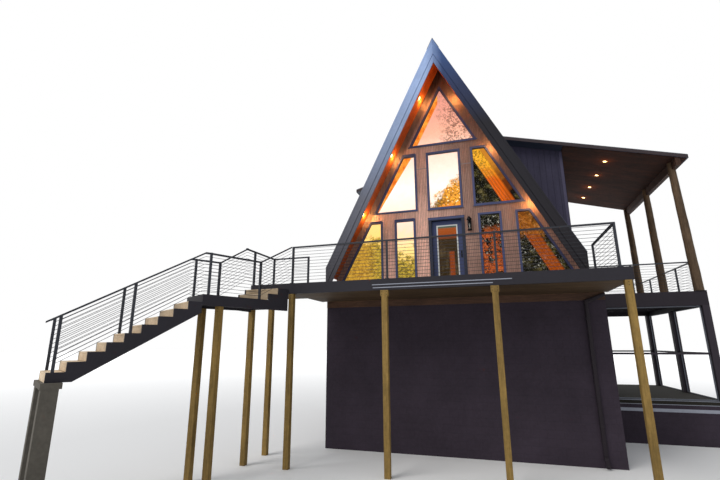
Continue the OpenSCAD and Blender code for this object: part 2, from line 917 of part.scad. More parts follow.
module dormer_side_walls() {
    color("#3f3946") {
        difference() {
            dormer_side(body_right, right_dormer_y);
            facing_right(body_right) window_holes(right_windows, -1, dormer_t + 1);
        }
        difference() {
            left_side() dormer_side(body_left, left_dormer_y);
            facing_left(body_left) window_holes(left_windows, -1, dormer_t + 1);
        }
    }
}

module shed_roofs() {
    color("#3c4956") {
        shed_roof(right_eave_x, right_rake_y, shed_back_y);
        left_side() shed_roof(left_eave_x, left_rake_y, shed_back_y);
    }
}

module porch_ceiling() {
    color("#7a5236") upright(right_rake_y + rim_t, shed_back_y - rim_t) polygon([
        [body_right, ceiling_z - body_right * shed_fall],
        [right_eave_x - rim_t, ceiling_z - (right_eave_x - rim_t) * shed_fall],
        [right_eave_x - rim_t, shed_under_z - seat - (right_eave_x - rim_t) * shed_fall],
        [body_right, shed_under_z - seat - body_right * shed_fall]
    ]);
}

module porch_beam() {
    color("#7a5236") upright(right_rake_y + rim_t, shed_back_y - rim_t) polygon([
        [log_x - beam_w / 2, beam_low_z], [log_x + beam_w / 2, beam_low_z],
        [log_x + beam_w / 2, beam_top_z],
        [log_x - beam_w / 2, beam_top_z + beam_w * shed_fall]
    ]);
}

// Sideways shift of a log's centre at share t of its height, and where a rail meets it
function log_shift(i, t) = (i == 0 ? log_splay : 0) * (1 - t) - log_lean * t;
function log_side(i) = let (t = rail_h / (log_top_z - floor_h))
    log_x - joist_gap + min(log_shift(i, 0) - log_d / 2,
        log_shift(i, t) - log_d / 2 + t * (log_d - log_top_d) / 2);

module porch_logs() {
    thin = 1;
    color("#b98a4e") for (i = [0:2]) {
        difference() {
            hull() {
                translate([log_x + log_shift(i, 0), log_y[i], floor_h])
                    cylinder(h = thin, d = log_d, $fn = 48);
                translate([log_x + log_shift(i, 1), log_y[i], log_top_z - thin])
                    cylinder(h = thin, d = log_top_d, $fn = 48);
            }
            block([log_x - beam_w / 2 - joist_gap, log_y[i] - log_d, beam_low_z],
                [log_x + log_d, log_y[i] + log_d, log_top_z + thin]);
        }
    }
}

// Rim boards of the front deck, open at the house, and its joists
module front_deck_frame() {
    z0 = floor_h - rim_h;
    block([-deck_left, -deck_y, z0], [deck_right, -deck_y + rim_t, floor_h]);
    block([deck_right - rim_t, -deck_y, z0], [deck_right, 0, floor_h]);
    block([-deck_left, -deck_y + 1, z0], [-deck_left + rim_t, 0, floor_h - board_t]);
    for (x = [-deck_left + joist_step:joist_step:deck_right - joist_step / 2])
        block([x, -deck_y + rim_t + joist_gap, z0 + board_t],
            [x + joist_w, -ledger_t, floor_h - board_t]);
}

// Rim boards and joists of the entry platform
module entry_frame() {
    z0 = floor_h - rim_h;
    back = entry_l - deck_y;
    right = -deck_left - joist_gap;
    block([-entry_left, -deck_y, z0], [right, -deck_y + rim_t, floor_h]);
    block([-entry_left, -deck_y, z0], [-entry_left + rim_t, back, floor_h]);
    block([-entry_left, back - rim_t, z0], [right, back, floor_h]);
    block([right - rim_t, -deck_y + 1, z0], [right, back - 1, floor_h - board_t]);
    for (k = [1:2])
        translate([-entry_left + entry_w * k / 3, 0, 0])
            block([0, -deck_y + rim_t + joist_gap, z0 + board_t],
                [joist_w, back - rim_t - joist_gap, floor_h - board_t]);
}

// Rim boards and the middle joist of the stair landing
module landing_frame() {
    z0 = landing_z - landing_rim_h;
    mid_a = (stair_top + stair_far) / 2;
    mid_b = (flight_near + flight_far) / 2;
    translate([0, 0, z0]) linear_extrude(landing_rim_h) border(landing_plan, stringer_t);
    translate([0, 0, z0 + board_t]) linear_extrude(landing_rim_h - board_t * 2)
        intersection() {
            polygon(inset(landing_plan, stringer_t + joist_gap));
            translate(mid_a) rotate(atan2(mid_b[1] - mid_a[1], mid_b[0] - mid_a[0]))
                square([norm(mid_b - mid_a), stringer_t]);
        }
}

module front_deck_frames() {
    color("#31353d") {
        front_deck_frame();
        entry_frame();
        landing_frame();
    }
}

module side_deck_frame() {
    z0 = floor_h - side_rim_h;
    color("#31353d") {
        block([body_right, side_y, z0], [side_right, side_y + rim_t, floor_h]);
        block([side_right - rim_t, side_y, z0], [side_right, side_back_y, floor_h]);
        block([body_right, side_back_y - rim_t, z0], [side_right, side_back_y, floor_h]);
        block([body_right, side_y + 1, z0],
            [body_right + rim_t, side_back_y - 1, floor_h - board_t]);
        for (y = [side_y + joist_step:joist_step:side_back_y - joist_step / 2])
            block([body_right + rim_t + joist_gap, y, z0 + board_t * 5],
                [side_right - rim_t - joist_gap, y + joist_w, floor_h - board_t]);
    }
}

// Boards under the joists of the front deck and of the entry platform
module deck_soffit() {
    low = floor_h - rim_h;
    gap = rim_t + joist_gap;
    color("#6a4c34") {
        block([-deck_left + gap, -deck_y + gap, low],
            [deck_right - gap, -ledger_t - joist_gap, low + soffit_t]);
        block([-entry_left + gap, -deck_y + gap, low],
            [-deck_left - joist_gap - gap, entry_l - deck_y - gap, low + soffit_t]);
    }
}

// Floor of the front deck and the entry platform, inside the rim boards
module front_floor_plan() {
    difference() {
        union() {
            translate([-deck_left, -deck_y]) square([deck_left + deck_right, deck_y]);
            translate([-entry_left, -deck_y]) square([entry_w + 1, entry_l]);
        }
        translate([-entry_left, -deck_y]) square([entry_left + deck_right, rim_t]);
        translate([deck_right - rim_t, -deck_y]) square([rim_t, deck_y]);
        translate([-entry_left, -deck_y]) square([rim_t, entry_l]);
        translate([-entry_left, entry_l - deck_y - rim_t]) square([entry_w, rim_t]);
    }
}

module deck_boards() {
    color("#8d6a4a") {
        translate([0, 0, floor_h - board_t]) linear_extrude(board_t) front_floor_plan();
        block([body_right, side_y + rim_t, floor_h - board_t],
            [side_right - rim_t, side_back_y - rim_t, floor_h]);
        translate([0, 0, landing_z - board_t]) linear_extrude(board_t)
            polygon(inset(landing_plan, stringer_t + seat));
    }
}

// Square post from the ground to height z, centred on plan point p
module post(p, z) {
    translate([p[0] - post_w / 2, p[1] - post_w / 2, 0]) cube([post_w, post_w, z]);
}

module deck_posts() {
    under = floor_h - rim_h;
    y = -deck_y + post_w / 2;
    near = stair_top + (flight_near - stair_top) * 0.27
        + left_of(unit(flight_near - stair_top)) * post_w * 0.7;
    far = flight_far + (stair_far - flight_far) * 0.73
        + left_of(unit(stair_far - flight_far)) * post_w * 0.7;
    color("#c39a55") {
        for (k = [0:3]) {
            shift = k == 1 || k == 2 ? post_shift : 0;
            x = -deck_left + post_w / 2 + k * post_step - shift;
            post([x, y], under);
            if (k == 1 || k == 2)
                translate([x - head_w / 2, -deck_y, under - head_h])
                    cube([head_w, post_w, head_h]);
        }
        post([-entry_left + post_w / 4, y], under);
        post([-entry_left + post_w / 4, entry_l - deck_y - post_w / 2], under);
        post(near, landing_z - landing_rim_h);
        post(far, landing_z - landing_rim_h);
    }
}

module front_rails() {
    y = -deck_y + rail_inset;
    x0 = -deck_left + rail_inset;
    x1 = deck_right - rail_right_inset;
    reach = x1 - x0;
    half = rail_post / 2 / reach;
    inner = (post_step + post_w / 2 - rail_inset) / reach;
    back_y = entry_l - deck_y - rail_inset;
    back_x = -entry_left + rail_inset + rail_post / 2;
    color("#33363c") {
        railing([x0, y], [x1, y], floor_h, floor_h,
            [half, inner, inner + post_step / reach, 1 - half], [0, 0], front_rail_h);
        railing([back_x, back_y], [x0, back_y], floor_h, floor_h,
            [1 - rail_post / 2 / (x0 - back_x)]);
    }
}

module deck_side_rails() {
    y0 = -deck_y + rail_inset + rail_post / 2;
    y1 = -rail_end_gap;
    x1 = deck_right - rail_right_inset - rail_post / 2;
    run = y1 - y0;
    left_x = -entry_left + rail_inset;
    left_y = -deck_y + rail_inset;
    left_run = entry_l - rail_inset * 2;
    color("#33363c") {
        railing([x1, y0], [x1, y1], floor_h, floor_h, [1 - rail_post / 2 / run], [0, 0],
            front_rail_h);
        railing([left_x, left_y - rail_post / 2], [left_x, left_y + left_run + rail_post / 2],
            floor_h, floor_h,
            [rail_post / 2 / (left_run + rail_post), 1 - rail_post / 2 / (left_run + rail_post)]);
    }
}

module side_deck_rails() {
    r = log_d / 2 + joist_gap;
    color("#33363c") {
        for (i = [0, 2])
            railing([body_right, log_y[i]], [log_side(i), log_y[i]], floor_h, floor_h,
                [rail_post / 2 / (log_side(i) - body_right), 0.5]);
        for (k = [0:1])
            railing([log_x, log_y[k] + r], [log_x, log_y[k + 1] - r], floor_h, floor_h, [0.5]);
    }
}

module lower_porch_slab() {
    color("#7f8478")
        block([body_right, side_y, porch_z - slab_t], [side_right, side_back_y, porch_z]);
}

module lower_porch_footing() {
    top = porch_z - slab_t;
    color("#4b454e") difference() {
        block([body_right, side_y, 0], [side_right, side_back_y, top]);
        block([body_right - 1, side_y + footing_t, -1],
            [side_right - footing_t, side_back_y - footing_t, top + 1]);
    }
}

// Centres of the lower porch posts, front to back
lower_post_x = side_right - lower_post_w / 2;
lower_post_y = [side_y + lower_post_w / 2, (side_y + side_back_y) / 2,
    side_back_y - lower_post_w / 2];

module lower_porch_posts() {
    color("#38333d") {
        for (y = lower_post_y)
            translate([lower_post_x - lower_post_w / 2, y - lower_post_w / 2, porch_z])
                cube([lower_post_w, lower_post_w, floor_h - side_rim_h - porch_z]);
    }
}

module lower_porch_rails() {
    z0 = porch_z + mid_rail_h;
    w = lower_post_w * 0.45;
    half = lower_post_w / 2;
    color("#38333d") {
        for (y = [lower_post_y[0], lower_post_y[2]])
            block([body_right, y - w / 2, z0],
                [lower_post_x - half, y + w / 2, z0 + mid_rail_t]);
        for (k = [0:1])
            block([lower_post_x - w / 2, lower_post_y[k] + half, z0],
                [lower_post_x + w / 2, lower_post_y[k + 1] - half, z0 + mid_rail_t]);
    }
}

// Sawtooth stringer of the lower flight, drawn along its climb
module lower_stringer_outline() {
    n = riser_n;
    r = riser_h;
    run = tread_run;
    fall = throat * norm([r, run]) / run;
    polygon(concat(
        [for (i = [0:n - 2]) each [
            [-(n - 1 - i) * run, landing_z - (n - i) * r],
            [-(n - 1 - i) * run, landing_z - (n - i - 1) * r]
        ]],
        [
            [-seat, landing_z - r],
            [-seat, landing_z - r - fall],
            [-(n - 1) * run + fall / r * run, stair_foot_z]
        ]
    ));
}

// Places what is drawn along the climb, with u forwards and v to the left
module along_stair() {
    translate([stair_top[0], stair_top[1], 0]) rotate([0, 0, stair_turn]) children();
}

// Stands an outline drawn as u and height on edge between v0 and v1
module on_edge(v0, v1) {
    translate([0, v1, 0]) rotate([90, 0, 0]) linear_extrude(v1 - v0) children();
}

// Upper flight's stringer, from the landing's near corner to the deck corner
module upper_stringer(a, b) {
    run = norm(b - a) / (upper_n - 1);
    end = run * 2 - stringer_t * (b[0] - a[0]) / (b[1] - a[1]) - seat;
    r = upper_riser;
    z0 = landing_z - landing_rim_h;
    translate([a[0], a[1], 0]) rotate([0, 0, atan2(b[1] - a[1], b[0] - a[0])])
        on_edge(0, stringer_t) polygon([
            [0, z0], [end, z0], [end, landing_z + r * 2],
            [run, landing_z + r * 2], [run, landing_z + r], [0, landing_z + r]
        ]);
}

module stair_stringers() {
    color("#31353d") {
        along_stair() {
            for (v = [0, stair_w - stringer_t])
                on_edge(v, v + stringer_t) lower_stringer_outline();
        }
        upper_stringer(flight_near, deck_corner);
        translate([stringer_t, 0, 0]) upper_stringer(flight_far, [-entry_left, -deck_y]);
    }
}

module stair_treads() {
    color("#c9ac84") {
        along_stair() for (i = [1:riser_n - 1]) {
            u = -(riser_n - i) * tread_run;
            z = landing_z - (riser_n - i) * riser_h;
            block([u, stringer_t, z - tread_t],
                [u + tread_run - step_gap, stair_w - stringer_t, z]);
            block([u, stringer_t, z - riser_h], [u + riser_t, stair_w - stringer_t, z]);
        }
        for (i = [1:upper_n - 1]) {
            y0 = -flight_y + (i - 1) * tread_run;
            z = landing_z + i * upper_riser;
            share = (i - 1) / (upper_n - 1);
            x1 = flight_near[0] + (deck_corner[0] - flight_near[0]) * share - 2;
            block([-entry_left + stringer_t, y0, z - upper_riser],
                [x1 - stringer_t, y0 + riser_t, z]);
            block([-entry_left + stringer_t, y0, z - tread_t],
                [x1 - stringer_t, y0 + tread_run - step_gap, z]);
        }
    }
}

module stair_rails() {
    half = rail_post / 2;
    butt = rail_post / 4;
    side = rail_post * 0.7;
    slope = riser_h / tread_run;
    reach = (riser_n - 1) * tread_run;
    near_edge = unit(flight_near - stair_top);
    far_edge = unit(flight_far - stair_far);
    near_top = stair_top + climb * top_post_back + across * side;
    far_top = stair_far + climb * top_post_back - across * side;
    near_turn = stair_top + (flight_near - stair_top) * near_turn_share
        + left_of(near_edge) * side;
    far_turn = stair_far + (flight_far - stair_far) * far_turn_share
        - left_of(far_edge) * side;
    corner = deck_corner + [rail_inset, rail_inset];
    near_end = corner - unit(corner - near_turn) * side;
    far_end = [-entry_left + rail_inset, -deck_y + rail_inset - half - step_gap];
    far_peak = far_end - [0, rail_lead];
    full = rail_h + rail_t / 10;
    elbow = rail_post * 1.1;
    color("#33363c") {
        for (top = [near_top, far_top]) {
            foot = top - climb * (reach + top_post_back - newel_back);
            foot_z = stair_foot_z + riser_h + newel_back * slope;
            rail_run(foot, stair_turn, [
                [0, foot_z],
                [reach - newel_back, landing_z],
                [reach - newel_back + top_post_back - butt, landing_z]
            ], rail_tail);
            for (i = [0, 4])
                rail_post_at(foot + climb * i * tread_run, stair_turn,
                    stair_foot_z + (i + 1) * riser_h,
                    newel_back * slope + rail_h - rail_t / 2);
            rail_post_at(top, stair_turn, landing_z, full);
        }
        railing(near_top, near_turn, landing_z, landing_z, [], [butt, butt]);
        railing(far_top, far_turn, landing_z, landing_z, [], [butt, butt]);
        railing(near_turn, near_end, landing_z, floor_h + front_rail_h - rail_h, [],
            [butt, 0]);
        railing(far_turn, far_peak, landing_z, floor_h, [], [butt, rod_break]);
        railing(far_peak, far_end, floor_h, floor_h, [], [rod_break, 0]);
        translate([far_peak[0] - elbow / 2, far_peak[1] - elbow / 2,
                floor_h + rail_h - rail_t - rod_break])
            cube([elbow, elbow, rail_t + rod_break * 2]);
        rail_post_at(near_turn, 0, landing_z, full);
        rail_post_at(far_turn, 0, landing_z, full);
    }
}

module stair_foot_piers() {
    u = -(riser_n - 1) * tread_run;
    color("#8c8a84") along_stair() {
        for (v = [stringer_t / 2, stair_w - stringer_t / 2])
            translate([u - 40, v - pier_w / 2, 0]) cube([pier_w, pier_w, stair_foot_z - 99]);
        translate([u - 60, -pier_w / 2 + 10, stair_foot_z - 100])
            cube([pier_w + 60, stair_w + pier_w - 20, 100]);
    }
}

module downspout() {
    left = spout_x - spout_w / 2;
    right = spout_x + spout_w / 2;
    back = -ledger_t;
    front = back - spout_t;
    foot = spout_foot;
    top = floor_h - rim_h - spout_w - joist_gap * 10;
    kick = spout_t * 2;
    strap_h = spout_w * 0.4;
    color("#2d2a30") {
        upright(front, back) polygon([
            [left, foot], [right, foot], [right, ledger_z - spout_w],
            [body_right, top], [body_right, top + spout_w], [left, ledger_z]
        ]);
        sideways(left, right) polygon([
            [back, foot + 1], [back, foot * 0.77], [front, foot * 0.42],
            [front - kick, foot * 0.12], [front - kick, foot * 0.38],
            [front, foot * 0.77], [front, foot + 1]
        ]);
        for (z = [foot + (ledger_z - foot) * 0.08, ledger_z / 2,
                ledger_z - (ledger_z - foot) * 0.13])
            block([left - 6, front - 4, z], [right + 6, -block_proud, z + strap_h]);
    }
}

basement_front_wall();
basement_side_walls();
basement_back_wall();
main_floor();
floor_ledger();
gable_wall_left();
gable_wall_right();
gable_wall_over_door();
rear_gable_wall();
window_frames();
window_glass();
door_frame();
front_door();
door_glass();
door_handle();
wall_lantern();
roof_left();
roof_right();
ridge_cap();
barge_boards();
overhang_lining();
roof_foot_plates();
recessed_lights();
dormer_end_walls();
dormer_side_walls();
shed_roofs();
porch_ceiling();
porch_beam();
porch_logs();
front_deck_frames();
side_deck_frame();
deck_soffit();
deck_boards();
deck_posts();
front_rails();
deck_side_rails();
side_deck_rails();
lower_porch_slab();
lower_porch_footing();
lower_porch_posts();
lower_porch_rails();
stair_stringers();
stair_treads();
stair_rails();
stair_foot_piers();
downspout();
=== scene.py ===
"""A-frame cabin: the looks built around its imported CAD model, laid out as an add-on."""
import math

import bpy
from mathutils import Matrix, Vector, noise


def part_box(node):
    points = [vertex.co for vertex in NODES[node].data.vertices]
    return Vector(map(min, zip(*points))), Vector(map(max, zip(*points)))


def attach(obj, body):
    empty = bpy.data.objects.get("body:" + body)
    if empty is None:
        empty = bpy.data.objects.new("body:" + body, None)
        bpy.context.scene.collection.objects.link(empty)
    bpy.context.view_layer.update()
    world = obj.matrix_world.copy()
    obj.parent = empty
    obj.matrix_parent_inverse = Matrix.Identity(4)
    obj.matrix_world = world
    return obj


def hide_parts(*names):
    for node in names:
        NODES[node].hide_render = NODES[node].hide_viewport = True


bl_info = {
    "name": "A-frame Cabin Finishes",
    "version": (1, 0, 0),
    "blender": (4, 5, 0),
    "location": "3D View > Sidebar > Cabin",
    "description": "Adds boards, trim, fittings and finishes to the a-frame cabin",
    "category": "Object",
}

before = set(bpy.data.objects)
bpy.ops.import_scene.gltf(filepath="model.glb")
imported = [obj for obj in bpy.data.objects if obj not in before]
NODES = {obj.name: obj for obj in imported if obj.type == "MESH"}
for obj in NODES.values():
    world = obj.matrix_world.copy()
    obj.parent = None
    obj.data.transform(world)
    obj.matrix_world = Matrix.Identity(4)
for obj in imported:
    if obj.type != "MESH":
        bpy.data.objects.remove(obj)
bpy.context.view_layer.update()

# Levels and lines of the building, in metres, as in the part's source
FLOOR = 4.5
PITCH = 1.95
SLOPE = math.hypot(1.0, PITCH)
RIDGE = 11.95
FOOT_X = 3.5
LINING = RIDGE - 0.085 * SLOPE
LINING_FACE = LINING - 0.018 * SLOPE
CASING = LINING - 0.224 * PITCH
CEILING = RIDGE - 0.26 * SLOPE
SHED = RIDGE - 0.968
SHED_FALL = 0.2757
SHED_UNDER = SHED - 0.13
SHED_MEET = (RIDGE - SHED) / (PITCH - SHED_FALL)
WALL_MEET = (RIDGE - SHED_UNDER) / (PITCH - SHED_FALL)
HOUSE_BACK = 9.0
BODY_LEFT = 3.8
BODY_RIGHT = 3.95
DORMER_BACK = 8.5
DORMER_FRONT = {"right": 3.35, "left": 5.3}
EAVE = {"right": 7.57, "left": 4.4}
SIDES = (("right", 1), ("left", -1))
CASING_W = 0.06
DOOR_HEAD = FLOOR + 2.151
GROOVE = 0.007
HAIR = 0.0005
LOG_X, LOG_LEAN, LOG_SPLAY, BEAM_LOW = 7.28, 0.05, 0.07, 8.57
LOG_FOOT, LOG_HEAD, LOG_SLIM = 0.29, 0.225, 0.955
DECK_FRONT, DECK_LEFT, DECK_RIGHT = -2.35, -3.97, 4.035
ENTRY_LEFT, ENTRY_DEEP = -5.12, 1.2
DECK_RIM, DECK_BOARD = 0.28, 0.028
POST_HALF = 0.07
RAIL_HALF = 0.05
POST_STEP = (DECK_RIGHT - DECK_LEFT - 2 * POST_HALF - 0.045) / 3
GOING, RISE, STEP_SIDE = 0.29, 0.173, 0.041
LANDING_DROP = 0.487
LANDING = FLOOR - LANDING_DROP
STAIR_TOP = Vector((-4.93, -4.57))
TURN = math.radians(58.2)
STAIR_FAR = STAIR_TOP + Vector((-math.sin(TURN), math.cos(TURN)))
FLIGHT_NEAR = Vector((-4.221, -2.93))
FLIGHT_FAR = Vector((ENTRY_LEFT, -2.93))
SPOUT_X, SPOUT_HALF = 3.48, 0.045


def move(x=0.0, y=0.0, z=0.0):
    """A matrix that moves."""
    return Matrix.Translation((x, y, z))


def turn(degrees, axis="Z"):
    """A matrix that turns about one axis."""
    return Matrix.Rotation(math.radians(degrees), 4, axis)


STILL = Matrix.Identity(4)
MIRROR = Matrix.Scale(-1, 4, (1, 0, 0))
REAR = move(0, HOUSE_BACK) @ turn(180)


def casing_x(z):
    """Half width of the sloping casings' outer line at height z."""
    return (CASING - z) / PITCH


def flipped(points):
    """An outline mirrored from right to left, kept counter-clockwise."""
    return [(-x, z) for x, z in reversed(points)]


def rectangle(x0, x1, z0, z1):
    """Counter-clockwise rectangle."""
    return [(x0, z0), (x1, z0), (x1, z1), (x0, z1)]


def under_slope(x, z0, z1):
    """Outline with an upright inner edge and an outer edge along the roof."""
    return [(x, z0), (casing_x(z0), z0), (casing_x(z1), z1), (x, z1)]


def inner(points, distance):
    """A counter-clockwise outline moved inwards by a distance."""
    result = []
    count = len(points)
    for i in range(count):
        a, b, c = (Vector(points[(i + k) % count]) for k in (-1, 0, 1))
        d1 = (b - a).normalized()
        d2 = (c - b).normalized()
        n1 = Vector((-d1.y, d1.x))
        n2 = Vector((-d2.y, d2.x))
        result.append(tuple(b + (n1 + n2) * distance / (1 + n1.dot(n2))))
    return result


def window_outlines():
    """Casing outlines of the upper windows, the narrow ones and the sloping ones below."""
    top_z, mid_z, low_z = FLOOR + 4.55, (FLOOR + 2.41, FLOOR + 4.32), (FLOOR + 0.19, FLOOR + 2.18)
    half = casing_x(top_z) - 0.1
    middle, narrow, sloping = (under_slope(0.84, *mid_z), rectangle(0.93, 1.59, *low_z),
                               under_slope(1.97, *low_z))
    return ([[(-half, top_z), (half, top_z), (0.0, top_z + half * PITCH)],
             rectangle(-0.525, 0.525, *mid_z), middle, flipped(middle)],
            [narrow, flipped(narrow)], [sloping, flipped(sloping)])


UPPER, NARROW, SLOPING = window_outlines()
FRONT_WINDOWS = UPPER + NARROW + SLOPING
REAR_WINDOWS = UPPER + NARROW
DOOR_CASING = rectangle(-0.54, 0.54, FLOOR, DOOR_HEAD)


def dormer_windows(side):
    """Casing outlines of a dormer's side windows, by distance behind the gable."""
    middle = (DORMER_FRONT[side] + DORMER_BACK) / 2
    return [rectangle(centre - 0.33, centre + 0.33, FLOOR + 0.9, FLOOR + 2.18)
            for centre in (middle - 0.66, middle + 0.66)]


# Modelling helpers


def deselect():
    """Leave edit mode and select nothing."""
    if bpy.context.object and bpy.context.object.mode != "OBJECT":
        bpy.ops.object.mode_set(mode="OBJECT")
    bpy.ops.object.select_all(action="DESELECT")


def pick(piece):
    """Make one object the only selected and active one."""
    deselect()
    piece.select_set(True)
    bpy.context.view_layer.objects.active = piece


def edit(piece):
    """Open a piece in edit mode with everything selected."""
    pick(piece)
    bpy.ops.object.mode_set(mode="EDIT")
    bpy.ops.mesh.select_all(action="SELECT")


def close(piece):
    """Point the faces outwards and leave edit mode."""
    bpy.ops.mesh.select_all(action="SELECT")
    bpy.ops.mesh.normals_make_consistent(inside=False)
    bpy.ops.object.mode_set(mode="OBJECT")
    return piece


def modify(piece, kind, **settings):
    """Add a modifier with the given settings and apply it."""
    modifier = piece.modifiers.new(kind.lower(), kind)
    for key, value in settings.items():
        setattr(modifier, key, value)
    pick(piece)
    bpy.ops.object.modifier_apply(modifier=modifier.name)
    return piece


def ease(piece, width, segments=1):
    """Round a piece's sharp edges."""
    return modify(piece, "BEVEL", width=width, segments=segments,
                  limit_method="ANGLE", angle_limit=math.radians(40))


def repeat(piece, count, step):
    """Repeat a piece in a row."""
    return modify(piece, "ARRAY", count=count, use_relative_offset=False,
                  use_constant_offset=True, constant_offset_displace=step)


def cut(piece, cutter, keep=False):
    """Cut a piece with another, or keep only what lies inside it."""
    operation = "INTERSECT" if keep else "DIFFERENCE"
    modify(piece, "BOOLEAN", object=cutter, operation=operation, solver="EXACT")
    bpy.data.objects.remove(cutter)
    return piece


def bar(name, low, high):
    """A squared length of material between two corners."""
    deselect()
    low, high = Vector(low), Vector(high)
    bpy.ops.mesh.primitive_cube_add(size=1, location=(low + high) / 2, scale=high - low)
    piece = bpy.context.object
    bpy.ops.object.transform_apply(location=True, rotation=True, scale=True)
    piece.name = name
    return piece


def eased(name, low, high, width, segments=1):
    """A squared length of material with rounded edges."""
    return ease(bar(name, low, high), width, segments)


def sheet(name, points):
    """One flat face through the given points."""
    deselect()
    bpy.ops.mesh.primitive_circle_add(vertices=len(points), radius=1, fill_type="NGON")
    piece = bpy.context.object
    piece.name = name
    for vertex, point in zip(piece.data.vertices, points):
        vertex.co = point
    return piece


def slab(name, points, offset):
    """A plate: an outline of 3-D points, extruded."""
    piece = sheet(name, points)
    edit(piece)
    bpy.ops.mesh.extrude_region_move(TRANSFORM_OT_translate={"value": offset})
    return close(piece)


def upright(name, outline, y0, y1):
    """A plate drawn as X and Z, standing between y0 and y1."""
    return slab(name, [(x, y0, z) for x, z in outline], (0, y1 - y0, 0))


def border(piece, width, offset):
    """Keep only the border of a flat piece, as wide as width, and extrude it."""
    edit(piece)
    bpy.ops.mesh.inset(thickness=width, depth=0, use_even_offset=True)
    bpy.ops.mesh.delete(type="FACE")
    bpy.ops.mesh.select_all(action="SELECT")
    bpy.ops.mesh.extrude_region_move(TRANSFORM_OT_translate={"value": offset})
    return close(piece)


def ring(name, outline, width, y0, y1):
    """A border of an upright outline, as wide as width, between y0 and y1."""
    return border(sheet(name, [(x, y0, z) for x, z in outline]), width, (0, y1 - y0, 0))


def rod(name, start, end, radius, sides=12):
    """A round bar between two points."""
    start, end = Vector(start), Vector(end)
    deselect()
    bpy.ops.mesh.primitive_cylinder_add(vertices=sides, radius=radius,
                                        depth=(end - start).length)
    piece = bpy.context.object
    aim = (end - start).to_track_quat("Z", "Y").to_matrix().to_4x4()
    piece.data.transform(Matrix.Translation((start + end) / 2) @ aim)
    piece.name = name
    return piece


def turned(name, profile, radius, x, y, z):
    """A turned piece: a profile of radius shares and heights, spun round an upright axis."""
    deselect()
    bpy.ops.mesh.primitive_circle_add(vertices=len(profile), radius=1)
    piece = bpy.context.object
    piece.name = name
    for vertex, (share, height) in zip(piece.data.vertices, profile):
        vertex.co = (x + share * radius, y, z + height)
    edit(piece)
    bpy.ops.mesh.spin(steps=32, angle=2 * math.pi, center=(x, y, 0), axis=(0, 0, 1))
    bpy.ops.mesh.select_all(action="SELECT")
    bpy.ops.mesh.remove_doubles(threshold=0.0001)
    return close(piece)


def shift(piece, matrix):
    """Move a piece's mesh, and turn it right way out if mirrored."""
    piece.data.transform(matrix)
    if matrix.determinant() < 0:
        piece.data.flip_normals()
    return piece


def copy(piece, matrix):
    """A copy with its own mesh, moved."""
    twin = piece.copy()
    twin.data = piece.data.copy()
    bpy.context.scene.collection.objects.link(twin)
    return shift(twin, matrix)


def join(name, pieces):
    """Join pieces into one object."""
    deselect()
    for piece in pieces:
        piece.select_set(True)
    bpy.context.view_layer.objects.active = pieces[0]
    if len(pieces) > 1:
        bpy.ops.object.join()
    pieces[0].name = name
    pieces[0].data.name = name
    return pieces[0]


def both(piece):
    """A piece joined with its mirror image on the other side of the ridge line."""
    return join(piece.name, [piece, copy(piece, MIRROR)])


def soften(piece, degrees=40):
    """Shade a piece smoothly, except at its sharp edges."""
    pick(piece)
    bpy.ops.object.shade_smooth_by_angle(angle=math.radians(degrees))
    return piece


def finish(piece, look, body="house", stands_for=()):
    """Give a piece its material and its body, and hide the CAD parts that it stands for."""
    piece.data.materials.clear()
    piece.data.materials.append(FINISHES[look])
    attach(piece, body)
    if stands_for:
        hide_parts(*stands_for)
    return piece


def dress(name, material):
    """Give a CAD node a material."""
    node = NODES[name]
    if not node.material_slots:
        node.data.materials.append(material)
    for place in node.material_slots:
        place.material = material


def hidden_lamp(name, energy, colour, radius, place):
    """A point light that lights the scene but isn't seen itself."""
    data = bpy.data.lights.new(name, "POINT")
    data.energy = energy
    data.color = colour
    data.shadow_soft_size = radius
    lamp = bpy.data.objects.new(name, data)
    lamp.location = place
    bpy.context.scene.collection.objects.link(lamp)
    lamp.visible_camera = False
    lamp.visible_glossy = False
    lamp.visible_transmission = False


# Material helpers


def rgb(red, green, blue):
    """A colour given as it looks on screen, from 0 to 255."""
    return tuple(
        (c / 255 / 12.92) if c / 255 <= 0.04045 else ((c / 255 + 0.055) / 1.055) ** 2.4
        for c in (red, green, blue)
    ) + (1.0,)


def shade(colour, factor):
    """A colour made lighter or darker."""
    return tuple(min(1.0, c * factor) for c in colour[:3]) + (1.0,)


